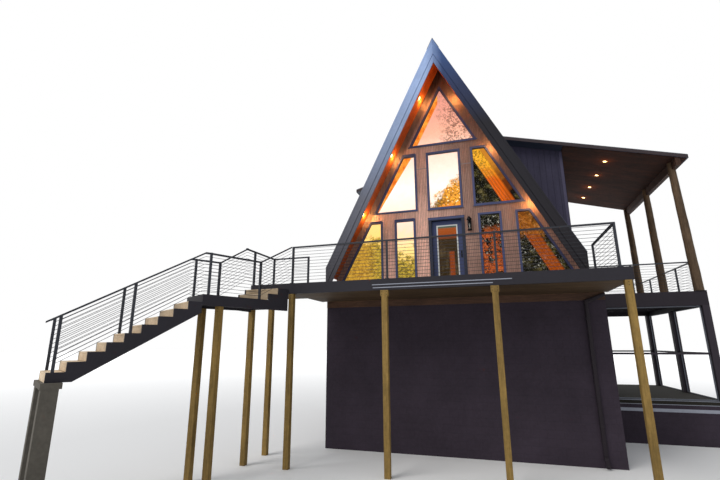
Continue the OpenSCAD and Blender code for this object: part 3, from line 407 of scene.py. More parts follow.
class Graph:
    """A shader node tree, with one short call for each kind of node that is used often."""

    def __init__(self, tree, place=None):
        self.tree = tree
        self.place = place
        self.split = None

    def feed(self, target, value):
        """Link a socket to an input, or set the input to a value."""
        if isinstance(value, bpy.types.NodeSocket):
            self.tree.links.new(value, target)
        else:
            target.default_value = value

    def put(self, kind, **inputs):
        """A node with values or sockets on its inputs, and values on its own settings."""
        made = self.tree.nodes.new("ShaderNode" + kind)
        for key, value in inputs.items():
            label = key.replace("_", " ")
            if label in made.inputs:
                self.feed(made.inputs[label], value)
            else:
                setattr(made, key, value)
        return made

    def effect(self, name, **inputs):
        """The outputs of a shared node group with values or sockets on its inputs."""
        made = self.tree.nodes.new("ShaderNodeGroup")
        made.node_tree = bpy.data.node_groups[name]
        for key, value in inputs.items():
            self.feed(made.inputs[key], value)
        return made.outputs

    def math(self, operation, a, b=None):
        """A maths node fed by sockets or numbers."""
        made = self.put("Math", operation=operation)
        self.feed(made.inputs[0], a)
        if b is not None:
            self.feed(made.inputs[1], b)
        return made.outputs[0]

    def add(self, a, b):
        """A sum."""
        return self.math("ADD", a, b)

    def take(self, a, b):
        """A difference."""
        return self.math("SUBTRACT", a, b)

    def times(self, first, *others):
        """A product of masks."""
        for other in others:
            first = self.math("MULTIPLY", first, other)
        return first

    def remap(self, value, low, high, first=0.0, last=1.0):
        """A value mapped from between two limits to between two others."""
        return self.put("MapRange", Value=value, From_Min=low, From_Max=high,
                        To_Min=first, To_Max=last).outputs[0]

    def band(self, value, low, high, soft):
        """One inside a band of values, with soft ends."""
        return self.times(self.remap(value, low - soft, low + soft),
                          self.remap(value, high - soft, high + soft, 1.0, 0.0))

    def mix(self, factor, a, b):
        """A colour mix fed by sockets or values."""
        made = self.put("Mix", data_type="RGBA")
        for place, value in ((0, factor), (6, a), (7, b)):
            self.feed(made.inputs[place], value)
        return made.outputs[2]

    def scale(self, colour, factor):
        """A colour times a factor."""
        made = self.put("VectorMath", operation="SCALE", Scale=factor)
        self.feed(made.inputs[0], colour)
        return made.outputs[0]

    def ramp(self, factor, stops):
        """A colour ramp with (position, colour) stops."""
        made = self.put("ValToRGB")
        self.feed(made.inputs[0], factor)
        elements = made.color_ramp.elements
        elements[0].position, elements[0].color = stops[0]
        elements[1].position, elements[1].color = stops[-1]
        for position, colour in stops[1:-1]:
            elements.new(position).color = colour
        return made.outputs["Color"]

    def noise(self, scale, place=None, **settings):
        """Noise on the graph's own coordinates, or on others."""
        vector = self.place if place is None else place
        return self.put("TexNoise", Vector=vector, Scale=scale, **settings).outputs[0]

    def spots(self, scale):
        """Distance to the nearest of scattered points."""
        return self.put("TexVoronoi", Vector=self.place, Scale=scale).outputs["Distance"]

    def axis(self, name):
        """One of the coordinates."""
        if self.split is None:
            self.split = self.put("SeparateXYZ", Vector=self.place)
        return self.split.outputs[name]

    def stretched(self, axis, length=0.09):
        """The coordinates drawn out along one axis, for grain."""
        size = [1.0, 1.0, 1.0]
        size["XYZ".index(axis)] = length
        return self.put("Mapping", Vector=self.place, Scale=size).outputs[0]


class Surface(Graph):
    """A material with a Principled shader, on the object's coordinates."""

    def __init__(self, name, rough=0.6, metal=0.0):
        self.material = bpy.data.materials.new(name)
        self.material.use_nodes = True
        super().__init__(self.material.node_tree)
        self.place = self.put("TexCoord").outputs["Object"]
        self.shader = self.tree.nodes["Principled BSDF"]
        self.set(Roughness=rough, Metallic=metal, Specular_IOR_Level=0.25)

    def set(self, **inputs):
        """Put values or sockets on the shader's inputs."""
        for key, value in inputs.items():
            self.feed(self.shader.inputs[key.replace("_", " ")], value)

    def relief(self, height, strength, distance):
        """Bump from a height."""
        bump = self.put("Bump", Strength=strength, Distance=distance, Height=height)
        self.set(Normal=bump.outputs[0])

    def weathered(self, colour, amount):
        """A stained colour, and the mask of the stains."""
        return self.effect("Weathering", Vector=self.place, Color=colour, Amount=amount)

    def fade(self, colour, axis, low, high, first, last):
        """Painted light and shade: scale a colour by a first share at one place on an axis and a
        last share at another.
        """
        if axis == "rake":
            value = self.math("DIVIDE", self.take(LINING, self.axis("Z")), PITCH)
            value = self.add(value, self.axis("X"))
        else:
            value = self.axis(axis)
        return self.scale(colour, self.remap(value, low, high, first, last))


def group(name, inputs, outputs):
    """A shader node group with named sockets: its graph, what it is given and its outputs."""
    tree = bpy.data.node_groups.new(name, "ShaderNodeTree")
    for label, kind, value in inputs:
        socket = tree.interface.new_socket(label, in_out="INPUT", socket_type="NodeSocket" + kind)
        if value is not None:
            socket.default_value = value
    for label, kind in outputs:
        tree.interface.new_socket(label, in_out="OUTPUT", socket_type="NodeSocket" + kind)
    given = tree.nodes.new("NodeGroupInput").outputs
    return Graph(tree, given.get("Vector")), given, tree.nodes.new("NodeGroupOutput").inputs


def make_grain():
    """Timber grain: fibres, slow colour drift and small knots."""
    graph, given, out = group(
        "Timber grain",
        [("Vector", "Vector", None), ("Light", "Color", (1, 1, 1, 1)),
         ("Dark", "Color", (0, 0, 0, 1)), ("Knots", "Float", 0.3)],
        [("Color", "Color"), ("Height", "Float")])
    amount = graph.add(graph.times(graph.noise(38.0, Detail=5.0, Roughness=0.65), 0.62),
                       graph.times(graph.noise(5.0, Detail=2.0, Distortion=0.6), 0.5))
    knots = graph.times(graph.remap(graph.spots(3.2), 0.03, 0.14, 1.0, 0.0), given["Knots"])
    colour = graph.mix(graph.remap(amount, 0.38, 0.72, 1.0, 0.0), given["Light"], given["Dark"])
    graph.feed(out["Color"], graph.mix(knots, colour, given["Dark"]))
    graph.feed(out["Height"], graph.take(amount, knots))


def make_joints():
    """Joints between boards or panels laid side by side along one coordinate."""
    graph, given, out = group(
        "Board joints",
        [("Along", "Float", 0.0), ("Width", "Float", 0.1), ("Gap", "Float", 0.04)],
        [("Joint", "Float"), ("Board", "Float")])
    place = graph.math("DIVIDE", given["Along"], given["Width"])
    part = graph.math("FRACT", place)
    edge = graph.math("MINIMUM", part, graph.take(1.0, part))
    graph.feed(out["Joint"], graph.remap(edge, 0.0, given["Gap"], 1.0, 0.0))
    board = graph.put("TexWhiteNoise", noise_dimensions="1D", W=graph.math("FLOOR", place))
    graph.feed(out["Board"], board.outputs["Value"])


def make_weather():
    """Slow staining of a surface, with paler dust and darker damp."""
    graph, given, out = group(
        "Weathering",
        [("Vector", "Vector", None), ("Color", "Color", (1, 1, 1, 1)), ("Amount", "Float", 0.3)],
        [("Color", "Color"), ("Mask", "Float")])
    mask = graph.add(graph.times(graph.noise(0.9, Detail=4.0, Roughness=0.6), 0.7),
                     graph.times(graph.noise(14.0, Detail=3.0, Roughness=0.6), 0.3))
    stain = graph.times(graph.remap(mask, 0.35, 0.65, -1.0, 1.0), given["Amount"])
    graph.feed(out["Color"], graph.scale(given["Color"], graph.add(1.0, stain)))
    graph.feed(out["Mask"], mask)


def timber(name, light, dark, axis, rough=0.6, joints=None, knots=0.3, bump=0.25, weather=0.2,
           painted_shading=()):
    """Timber with grain along one axis, boards across another and painted light and shade along
    axes if asked.
    """
    look = Surface(name, rough)
    grain = look.effect("Timber grain", Vector=look.stretched(axis), Light=light, Dark=dark,
                        Knots=knots)
    colour, height = grain["Color"], grain["Height"]
    if joints:
        across, width, gap = joints
        lines = look.effect("Board joints", Along=look.axis(across), Width=width, Gap=gap / width)
        tone = look.remap(lines["Board"], 0.0, 1.0, 0.78, 1.15)
        colour = look.mix(lines["Joint"], look.scale(colour, tone), shade(dark, 0.3))
        height = look.take(height, look.times(lines["Joint"], 3.0))
    colour = look.weathered(colour, weather)["Color"]
    for fade in painted_shading:
        colour = look.fade(colour, *fade)
    look.set(Base_Color=colour, Specular_IOR_Level=0.2)
    look.relief(height, bump, 0.004)
    return look.material


def painted(name, colour, rough=0.5, metal=0.0, weather=0.15, coat=0.0):
    """Painted timber or metal with slight staining and a fine uneven surface."""
    look = Surface(name, rough, metal)
    aged = look.weathered(colour, weather)
    look.set(Base_Color=aged["Color"], Coat_Weight=coat,
             Roughness=look.remap(aged["Mask"], 0.0, 1.0, rough - 0.08, rough + 0.1))
    look.relief(look.noise(90.0, Detail=3.0), 0.12, 0.002)
    return look.material


def light_and_shade_paint(name, left, right):
    """Paint with painted light and shade: its tone changes with height and differs on each side of
    the ridge line.
    """
    look = Surface(name, 0.45, 0.1)
    level = look.remap(look.axis("Z"), FLOOR, RIDGE)
    mixed = look.mix(look.remap(look.axis("X"), -0.25, 0.25), look.ramp(level, left),
                     look.ramp(level, right))
    look.set(Base_Color=look.weathered(mixed, 0.12)["Color"])
    look.relief(look.noise(70.0, Detail=3.0), 0.1, 0.002)
    return look.material


def masonry(name, colour):
    """Painted blocks in courses, with recessed joints and a pitted face."""
    course, length, joint = 0.2, 0.4, 0.008
    look = Surface(name, 0.85)
    rows = look.effect("Board joints", Along=look.axis("Z"), Width=course, Gap=joint / course)
    row = look.math("FLOOR", look.math("DIVIDE", look.axis("Z"), course))
    offset = look.times(look.math("MODULO", row, 2.0), length / 2)
    along = look.add(look.add(look.axis("X"), look.axis("Y")), offset)
    ends = look.effect("Board joints", Along=along, Width=length, Gap=joint / length)
    lines = look.math("MAXIMUM", rows["Joint"], ends["Joint"])
    pits = look.noise(60.0, Detail=6.0, Roughness=0.7)
    aged = look.weathered(colour, 0.2)["Color"]
    look.set(Base_Color=look.mix(look.times(lines, 0.3), aged, shade(colour, 0.5)))
    look.relief(look.take(look.times(pits, 0.5), lines), 0.35, 0.006)
    return look.material


# Sizes and colours that a user would change


def length_property(label, text, default):
    """A length setting in metres."""
    return bpy.props.FloatProperty(name=label, description=text, default=default,
                                   min=0.001, unit="LENGTH")


def colour_property(label, text, default):
    """A colour setting."""
    return bpy.props.FloatVectorProperty(name=label, description=text, default=default,
                                         size=4, min=0.0, max=1.0, subtype="COLOR")


class CabinSizes(bpy.types.PropertyGroup):
    """Sizes of the cabin's boards, seams and trim."""

    siding_board: length_property("Siding board", "Width of a siding board", 0.05)
    siding_proud: length_property("Siding depth", "Thickness of the siding boards", 0.009)
    dormer_board: length_property("Dormer panel", "Width of a dormer panel board", 0.2)
    seam_step: length_property("Seam spacing", "Spacing of the roofs' standing seams", 0.4)
    seam_high: length_property("Seam height", "Height of the standing seams", 0.03)
    deck_board: length_property("Deck board", "Width of a deck board with its gap", 0.145)
    deck_gap: length_property("Deck gap", "Gap between deck boards", 0.006)


class CabinColours(bpy.types.PropertyGroup):
    """Main colours of the cabin."""

    siding: colour_property("Siding", "Stained siding of the gables", rgb(200, 160, 144))
    trim: colour_property("Trim", "Window casings and barge boards", rgb(68, 76, 114))
    roof: colour_property("Roof", "Standing seam roofs", rgb(66, 74, 90))
    dormer: colour_property("Dormer", "Painted dormer boards", rgb(54, 51, 69))
    block: colour_property("Basement", "Painted basement blocks", rgb(52, 44, 54))
    rim: colour_property("Rim", "Painted deck rims and stringers", rgb(34, 32, 39))
    rail: colour_property("Rail", "Steel rails and rods", rgb(52, 54, 60))
    cedar: colour_property("Cedar", "Cedar of the overhang's lining", rgb(206, 100, 44))
    post: colour_property("Post", "Timber posts of the deck", rgb(136, 110, 60))


def sizes():
    """The size settings."""
    return bpy.context.scene.cabin_sizes


def colours():
    """The colour settings."""
    return bpy.context.scene.cabin_colours


def tint(name):
    """One colour setting as a plain tuple."""
    return tuple(getattr(colours(), name))


FINISHES = {}


def make_finishes():
    """Every material, by the name that the pieces ask for it."""
    make_grain()
    make_joints()
    make_weather()
    siding, cedar, dormer, post = (tint(name) for name in ("siding", "cedar", "dormer", "post"))
    FINISHES.update(
        # Painted light and shade on the gable siding: darker towards the top and just under the
        # apex, lighter on the left, dark along the left rake under the soffit and darker on the
        # rear gable.
        siding=timber("Stained siding", shade(siding, 1.12), shade(siding, 0.6), "Z", 0.62,
                      knots=0.15,
                      painted_shading=[("Z", FLOOR, FLOOR + 7.2, 1.2, 0.5), ("X", -0.4, 0.8, 1.5, 0.62),
                             ("Z", FLOOR + 6.1, FLOOR + 6.7, 1.0, 0.45),
                             ("rake", 0.2, 0.3, 0.34, 1.0), ("Y", 4.0, 5.0, 1.0, 0.42)]),
        cedar=timber("Cedar lining", shade(cedar, 1.2), shade(cedar, 0.55), "X", 0.5,
                     ("Y", 0.14, 0.006), 0.25),
        dormer_siding=timber("Dormer paint", shade(dormer, 1.1), shade(dormer, 0.8), "Z", 0.7,
                             knots=0.0, bump=0.12),
        ceiling_timber=timber("Ceiling boards", rgb(76, 40, 25), rgb(36, 19, 12), "X", 0.8,
                              ("Y", 0.14, 0.008), 0.5),
        log=timber("Peeled log", rgb(104, 84, 64), rgb(56, 44, 33), "Z", 0.75, knots=0.7,
                   bump=0.4, weather=0.25),
        deck_timber=timber("Deck boards", rgb(112, 88, 70), rgb(70, 54, 44), "X", 0.7),
        side_deck_timber=timber("Side deck boards", rgb(112, 88, 70), rgb(70, 54, 44), "Y", 0.7),
        post_timber=timber("Post timber", shade(post, 1.15), shade(post, 0.55), "Z", 0.65,
                           knots=0.9, bump=0.3, weather=0.25),
        # Painted light: the stair boards are lighter towards the foot of the stair.
        stair_timber=timber("Stair boards", rgb(206, 186, 158), rgb(164, 142, 114), "X", 0.6,
                            knots=0.35, painted_shading=[("Z", FLOOR - 2.2, FLOOR - 1.0, 1.35, 0.95)]),
        floor_timber=timber("Platform timber", rgb(92, 66, 50), rgb(54, 38, 30), "X", 0.6),
        inner_cedar=timber("Inner cedar", rgb(236, 160, 84), rgb(180, 100, 42), "X", 0.5,
                           ("Y", 0.14, 0.006), 0.25),
        beam=timber("Beam", rgb(74, 50, 38), rgb(38, 25, 19), "Y", 0.65, bump=0.3),
        soffit_boards=timber("Deck soffit", rgb(88, 68, 44), rgb(50, 37, 25), "X", 0.7,
                             ("Y", 0.19, 0.007), 0.4),
        siding_back=painted("Groove shadow", shade(siding, 0.25), 0.8),
        trim=painted("Casing paint", tint("trim"), 0.42, 0.0, 0.12, 0.1),
        door_trim=painted("Sash paint", rgb(38, 42, 58), 0.45),
        door_paint=painted("Door paint", rgb(58, 68, 108), 0.42, 0.0, 0.08, 0.15),
        black_metal=painted("Black metal", rgb(30, 31, 34), 0.4, 0.6),
        roof_metal=painted("Roof metal", tint("roof"), 0.4, 0.35, 0.12),
        edge_metal=painted("Pale edge metal", rgb(128, 134, 142), 0.35, 0.6, 0.1),
        deck_rim=painted("Rim paint", tint("rim"), 0.6, 0.0, 0.2),
        rail_metal=painted("Rail steel", tint("rail"), 0.42, 0.5),
        concrete=painted("Concrete", rgb(38, 36, 31), 0.9, 0.0, 0.25),
        pier_concrete=painted("Pier concrete", rgb(88, 84, 77), 0.9, 0.0, 0.3),
        dark_timber=painted("Porch paint", rgb(44, 38, 46), 0.6),
        nosing=painted("Nosing paint", rgb(206, 188, 162), 0.6),
        screen_frame=painted("Screen frame", rgb(104, 108, 118), 0.5, 0.3),
        lamp_off=painted("Frosted bulb", rgb(226, 222, 210), 0.3),
        downspout=painted("Downspout paint", rgb(34, 28, 34), 0.5, 0.2),
        dormer_trim=painted("Dormer trim", shade(dormer, 1.5)),
        fascia=painted("Fascia metal", rgb(56, 46, 48), 0.45, 0.2),
        # Painted shade: a darker, more purple copy of the rim paint for the side deck's shaded
        # frame.
        side_rim=painted("Side rim paint", rgb(32, 26, 34), 0.6, 0.0, 0.2),
        pale_strip=painted("Pale drip strip", rgb(146, 150, 162), 0.4, 0.1),
        lite_frame=painted("Lite frame", rgb(214, 216, 214), 0.4),
        # Painted light and shade on the barges: the left one lit and light, the right one shaded
        # and dark, both lighter and bluer towards the ridge.
        barge=light_and_shade_paint(
            "Barge metal",
            [(0.05, rgb(62, 60, 66)), (0.35, rgb(92, 94, 106)), (0.6, rgb(124, 140, 170)),
             (0.9, rgb(142, 164, 204))],
            [(0.2, rgb(27, 24, 30)), (0.6, rgb(26, 25, 32)), (0.78, rgb(40, 50, 82)),
             (0.95, rgb(52, 78, 126))]),
        block=masonry("Painted block", tint("block")),
        glass=make_glass("Window glass", (0.97, 0.96, 0.94, 1), 0.02),
        door_glass=make_glass("Door glass", rgb(236, 226, 208), 0.05),
        lantern_pane=make_glass("Lantern glass", (0.9, 0.92, 0.92, 1), 0.05),
        lamp=make_glow("Lamp", rgb(255, 214, 150), 6.0),
        screen=paint_reflections(),
        hall=hall_glow(),
    )


def make_glass(name, colour, rough):
    """Clear or frosted glass."""
    look = Surface(name, rough)
    look.set(Base_Color=colour, Transmission_Weight=1.0, IOR=1.12, Specular_IOR_Level=0.06)
    look.relief(look.noise(2.5, Detail=1.0), 0.03, 0.004)
    return look.material


def make_glow(name, colour, strength):
    """A lit surface, a little brighter at some spots."""
    look = Surface(name, 0.5)
    lit = look.scale(colour[:3], look.remap(look.noise(30.0), 0.0, 1.0, 0.85, 1.0))
    look.set(Base_Color=colour, Emission_Color=lit, Emission_Strength=strength)
    return look.material


def paint_reflections():
    """Sheets behind the glass that glow with painted reflections: pale dusk sky on the left and
    above, mottled dark foliage and lit soffit boards on the right, with painted glints.
    """
    look = Surface("Inner screen", 0.8)
    mix, remap, band, times = look.mix, look.remap, look.band, look.times
    along, up = look.axis("X"), look.axis("Z")
    broad = look.noise(5.0, Detail=8.0, Roughness=0.75)
    fine = look.noise(16.0, Detail=6.0, Roughness=0.8)
    drift = look.take(broad, 0.5)
    wavy = look.add(up, drift)

    def level(low, high, first=0.0, last=1.0, value=up):
        """A value mapped between two heights over the floor."""
        return remap(value, FLOOR + low, FLOOR + high, first, last)

    # Painted reflection of the pale, warm dusk sky over the whole sheet.
    pale = look.ramp(level(0.0, 7.0, value=wavy), [
        (0.0, rgb(200, 160, 76)), (0.12, rgb(238, 200, 106)), (0.19, rgb(250, 218, 146)),
        (0.27, rgb(250, 210, 186)), (0.46, rgb(255, 240, 228)), (0.6, rgb(248, 212, 194)),
        (0.72, rgb(236, 172, 146)), (0.86, rgb(222, 150, 132)), (1.0, rgb(190, 120, 104))])
    outer = times(remap(along, -1.84, -1.8, 1.0, 0.0), level(2.2, 2.3, 0.75, 0.0))
    mixed = mix(outer, pale, rgb(250, 204, 92))
    bank = look.take(look.take(up, times(drift, 3.0)), times(outer, 0.75))
    # Painted reflection of foliage along the bottom.
    green = mix(remap(fine, 0.42, 0.58), rgb(66, 62, 18), rgb(186, 156, 54))
    green = mix(remap(along, -2.6, -2.1, 0.3, 0.0), green, rgb(206, 132, 44))
    mixed = mix(level(0.9, 1.15, 0.95, 0.0, bank), mixed, green)
    line = look.add(look.take(up, times(along, 0.95)), times(drift, 1.6))
    # Painted reflection in the middle windows: a warm gold and orange band below a sloping line.
    gold = times(band(along, -0.6, 0.6, 0.02), level(3.0, 3.2, 1.0, 0.0, line))
    tone = mix(remap(fine, 0.44, 0.56), rgb(140, 84, 24), rgb(250, 172, 60))
    low_left = times(remap(along, -0.15, 0.0, 0.8, 0.0), remap(broad, 0.44, 0.5))
    tone = mix(low_left, tone, rgb(84, 70, 26))
    tone = mix(level(2.5, 2.6, 0.8, 0.0, wavy), tone, rgb(232, 136, 44))
    mixed = mix(gold, mixed, tone)
    # Painted glints: bright spots in that band.
    painted_glints = times(gold, remap(look.spots(9.0), 0.12, 0.26, 1.0, 0.0),
                  band(up, FLOOR + 2.6, FLOOR + 3.4, 0.1))
    mixed = mix(painted_glints, mixed, rgb(255, 240, 196))
    threads = times(remap(fine, 0.495, 0.535), remap(look.add(along, drift), -0.15, 0.3),
                    level(4.4, 4.5), 0.85)
    mixed = mix(threads, mixed, rgb(96, 58, 48))
    # Painted reflection of dark foliage in the right windows.
    right = times(remap(along, 0.56, 0.6), level(4.42, 4.5, 1.0, 0.0))
    dark = look.ramp(remap(broad, 0.36, 0.64), [
        (0.0, rgb(8, 9, 7)), (0.45, rgb(18, 18, 12)), (0.65, rgb(36, 33, 16)),
        (0.82, rgb(66, 60, 28)), (1.0, rgb(104, 94, 60))])
    mixed = mix(right, mixed, dark)
    # Painted glints in the dark foliage.
    sparkle = times(right, remap(fine, 0.585, 0.625), band(up, FLOOR + 0.5, FLOOR + 2.6, 0.2), 0.9)
    mixed = mix(sparkle, mixed, rgb(206, 204, 190))
    # Painted reflection of the soffit boards along the right slope: a painted shaded strip next to
    # the slope, painted lit boards beyond it.
    from_slope = look.take(look.math("DIVIDE", look.take(CASING, up), PITCH), along)
    lines = look.math("FRACT", times(from_slope, 10.5))
    high = level(3.2, 3.9, value=wavy)
    plank = mix(high, rgb(196, 88, 18), rgb(238, 172, 46))
    plank = mix(times(remap(lines, 0.0, 0.4, 0.75, 0.0), remap(high, 0.0, 1.0, 1.0, 0.3)),
                plank, rgb(96, 38, 10))
    plank = mix(times(high, remap(fine, 0.47, 0.56), 0.8), plank, rgb(88, 60, 20))
    shady = times(right, band(from_slope, -0.1, 0.2, 0.015), level(2.75, 2.95, value=wavy), 0.9)
    mixed = mix(shady, mixed, mix(high, rgb(92, 44, 16), rgb(190, 122, 40)))
    lit = times(right, band(from_slope, 0.19, 0.56, 0.015), remap(along, 1.7, 1.8, 1.0, 0.7))
    mixed = mix(lit, mixed, plank)
    mixed = mix(times(lit, level(2.2, 2.3, 0.66, 0.0)), mixed, rgb(72, 36, 14))
    # Painted reflection: a warm patch low in the right windows.
    warm_reflection = times(right, band(along, 0.9, 1.7, 0.02), band(up, FLOOR + 0.3, FLOOR + 1.75, 0.12),
                  remap(broad, 0.45, 0.5))
    mixed = mix(warm_reflection, mixed, mix(remap(fine, 0.45, 0.55), rgb(172, 82, 34), rgb(92, 42, 22)))
    brown = times(right, remap(along, 1.8, 1.9), level(1.3, 1.5, value=wavy),
                  level(2.2, 2.3, 0.8, 0.0))
    mixed = mix(brown, mixed, mix(remap(fine, 0.45, 0.56), rgb(84, 46, 16), rgb(158, 98, 34)))
    # Painted reflection of the orange soffit in a band along the left slope.
    mirror_slope = look.add(from_slope, times(along, 2.0))
    eave = times(remap(along, -0.1, -0.08, 1.0, 0.0),
                 look.math("LESS_THAN", mirror_slope, level(2.45, 4.3, 0.05, 0.29)),
                 level(2.3, 2.4))
    mixed = mix(eave, mixed, mix(remap(broad, 0.42, 0.58), rgb(208, 98, 28), rgb(240, 152, 58)))
    # The sheet glows though it is no lamp: its emission carries the whole painted reflection
    # picture over a near-black base.
    look.set(Base_Color=rgb(14, 12, 10), Specular_IOR_Level=0.0, Emission_Color=mixed,
             Emission_Strength=1.4)
    return look.material


def hall_glow():
    """A sheet behind the front door's glass that glows with painted light and reflections: dim,
    with a warm band and a warm upright edge.
    """
    look = Surface("Hall glow", 0.8)
    up = look.axis("Z")
    # Painted light: dim low down, a warm band higher up and a cool top, with paler streaks and a
    # warm column.
    mixed = look.ramp(look.remap(up, FLOOR, FLOOR + 2.8), [
        (0.0, rgb(50, 44, 32)), (0.66, rgb(46, 44, 30)), (0.68, rgb(160, 80, 34)),
        (0.79, rgb(180, 92, 40)), (0.81, rgb(64, 112, 112)), (1.0, rgb(56, 84, 86))])
    streaks = look.noise(9.0, look.stretched("Z", 0.3), Detail=5.0, Roughness=0.7)
    grey = look.times(look.remap(streaks, 0.5, 0.62),
                      look.remap(up, FLOOR + 1.8, FLOOR + 1.84, 0.8, 0.0))
    mixed = look.mix(grey, mixed, rgb(104, 96, 76))
    column = look.times(look.band(look.axis("X"), -0.1, 0.06, 0.015),
                        look.remap(up, FLOOR + 1.4, FLOOR + 1.44, 1.0, 0.0))
    mixed = look.mix(column, mixed, rgb(152, 74, 38))
    facing = look.put("SeparateXYZ", Vector=look.put("TexCoord").outputs["Normal"])
    rear = look.math("GREATER_THAN", facing.outputs["Y"], -0.5)
    # The sheet glows though it is no lamp; its back faces stay black.
    look.set(Base_Color=rgb(52, 34, 22), Emission_Strength=0.9,
             Emission_Color=look.mix(rear, mixed, (0, 0, 0, 1)))
    return look.material


# Pieces


class CABIN_OT_stage(bpy.types.Operator):
    """Add the floor, the camera and the studio light"""

    bl_idname = "cabin.stage"
    bl_label = "Studio Stage"

    def execute(self, context):
        scene = context.scene
        deselect()
        bpy.ops.mesh.primitive_plane_add(size=400, location=(0, 0, 0))
        floor = context.object
        floor.name = "studio_floor"
        look = Surface("Studio floor", 0.9)
        reach = look.put("VectorMath", operation="LENGTH", Vector=look.place)
        look.set(Base_Color=look.remap(look.noise(0.05, Detail=1.0), 0.0, 1.0, 0.83, 0.87),
                 Emission_Color=look.remap(reach.outputs["Value"], 12.0, 60.0, 0.0, 0.5),
                 Emission_Strength=1.0)
        floor.data.materials.append(look.material)
        camera = bpy.data.objects.new("camera", bpy.data.cameras.new("camera"))
        scene.collection.objects.link(camera)
        camera.data.lens = 21.129
        camera.data.sensor_width = 36
        camera.data.clip_end = 1000
        camera.matrix_world = (move(1.19, -12.45, 2.91) @ turn(17.46) @ turn(103.92, "X")
                               @ turn(-0.21))
        scene.camera = camera
        scene.view_settings.view_transform = "Standard"
        world = bpy.data.worlds.new("studio")
        scene.world = world
        world.use_nodes = True
        sky = Graph(world.node_tree)
        sky.tree.nodes.clear()
        light = sky.put("Background", Color=(0.93, 0.96, 1.0, 1), Strength=0.62)
        plain = sky.put("Background", Color=(1, 1, 1, 1), Strength=1.0)
        path = sky.put("LightPath").outputs
        seen = sky.math("MAXIMUM", path["Is Camera Ray"], path["Is Transmission Ray"])
        seen = sky.math("MAXIMUM", seen, path["Is Glossy Ray"])
        mixed = sky.put("MixShader")
        for target, value in zip(mixed.inputs, (seen, light.outputs[0], plain.outputs[0])):
            sky.feed(target, value)
        sky.feed(sky.put("OutputWorld").inputs[0], mixed.outputs[0])
        sun = bpy.data.lights.new("soft key", "SUN")
        sun.energy = 1.5
        sun.angle = math.radians(35)
        sun.color = (1.0, 0.97, 0.93)
        lamp = bpy.data.objects.new("soft key", sun)
        scene.collection.objects.link(lamp)
        lamp.rotation_euler = (math.radians(48), 0, math.radians(-38))
        return {"FINISHED"}


PLAIN_NODES = {
    "block": ["basement_front_wall", "basement_side_walls", "basement_back_wall",
              "lower_porch_footing"],
    "floor_timber": ["main_floor", "floor_ledger", "roof_foot_plates"],
    "siding_back": ["gable_wall_left", "gable_wall_right", "gable_wall_over_door",
                    "rear_gable_wall"],
    "dormer_siding": ["dormer_end_walls", "dormer_side_walls"],
    "roof_metal": ["roof_left", "roof_right", "ridge_cap", "shed_roofs"],
    "cedar": ["overhang_lining"],
    "glass": ["window_glass"],
    "door_glass": ["door_glass"],
    "door_trim": ["door_frame"],
    "door_paint": ["front_door"],
    "black_metal": ["door_handle", "wall_lantern"],
    "lamp": ["recessed_lights"],
    "ceiling_timber": ["porch_ceiling"],
    "beam": ["porch_beam"],
    "soffit_boards": ["deck_soffit"],
    "log": ["porch_logs"],
    "deck_rim": ["front_deck_frames", "stair_stringers"],
    "side_rim": ["side_deck_frame"],
    "post_timber": ["deck_posts"],
    "rail_metal": ["front_rails", "deck_side_rails", "side_deck_rails", "stair_rails",
                   "downspout"],
    "concrete": ["lower_porch_slab"],
    "pier_concrete": ["stair_foot_piers"],
    "dark_timber": ["lower_porch_posts", "lower_porch_rails"],
    "deck_timber": ["deck_boards"],
    "trim": ["window_frames", "barge_boards"],
    "stair_timber": ["stair_treads"],
}


class CABIN_OT_structure(bpy.types.Operator):
    """Finish the walls, floors and frames that keep their plain shape"""

    bl_idname = "cabin.structure"
    bl_label = "Structure"

    def execute(self, context):
        for look, names in PLAIN_NODES.items():
            for name in names:
                dress(name, FINISHES[look])
        return {"FINISHED"}


def grooved(name, outline, holes, width, depth):
    """A sheet of upright boards with an outline and holes, on a wall facing -Y."""
    xs, zs = zip(*outline)
    left, low, high = min(xs) - width / 2, min(zs) - 0.1, max(zs) + 0.1
    board = slab(name, [(left + GROOVE / 2, 0, low), (left + width - GROOVE / 2, 0, low),
                        (left + width - GROOVE, -depth, low), (left + GROOVE, -depth, low)],
                 (0, 0, high - low))
    boards = repeat(board, math.ceil((max(xs) - min(xs)) / width) + 1, (width, 0, 0))
    cut(boards, upright("outline", outline, -0.1, 0.1), keep=True)
    if holes:
        cut(boards, join("holes", [upright("hole", p, -0.2, 0.2) for p in holes]))
    return boards


class CABIN_OT_siding(bpy.types.Operator):
    """Board the front and rear gables"""

    bl_idname = "cabin.siding"
    bl_label = "Gable Siding"

    def execute(self, context):
        wide, deep = sizes().siding_board, sizes().siding_proud
        edge = FOOT_X - 0.003
        top = LINING_FACE - 0.003
        low = top - edge * PITCH
        outline = [(-edge, FLOOR + 0.002), (edge, FLOOR + 0.002), (edge, low), (0, top),
                   (-edge, low)]
        front = grooved("front_siding", outline, FRONT_WINDOWS + [DOOR_CASING], wide, deep)
        finish(front, "siding")
        rear = grooved("rear_siding", outline, REAR_WINDOWS, wide, deep)
        finish(shift(rear, REAR), "siding")
        strips = [bar("strip", (x0, -0.013, FLOOR + 3.79), (x1, -0.004, FLOOR + 3.805))
                  for x0, x1 in ((-0.84, -0.525), (0.525, 0.84))]
        finish(ease(join("siding_joint_strips", strips), 0.002), "edge_metal")
        return {"FINISHED"}


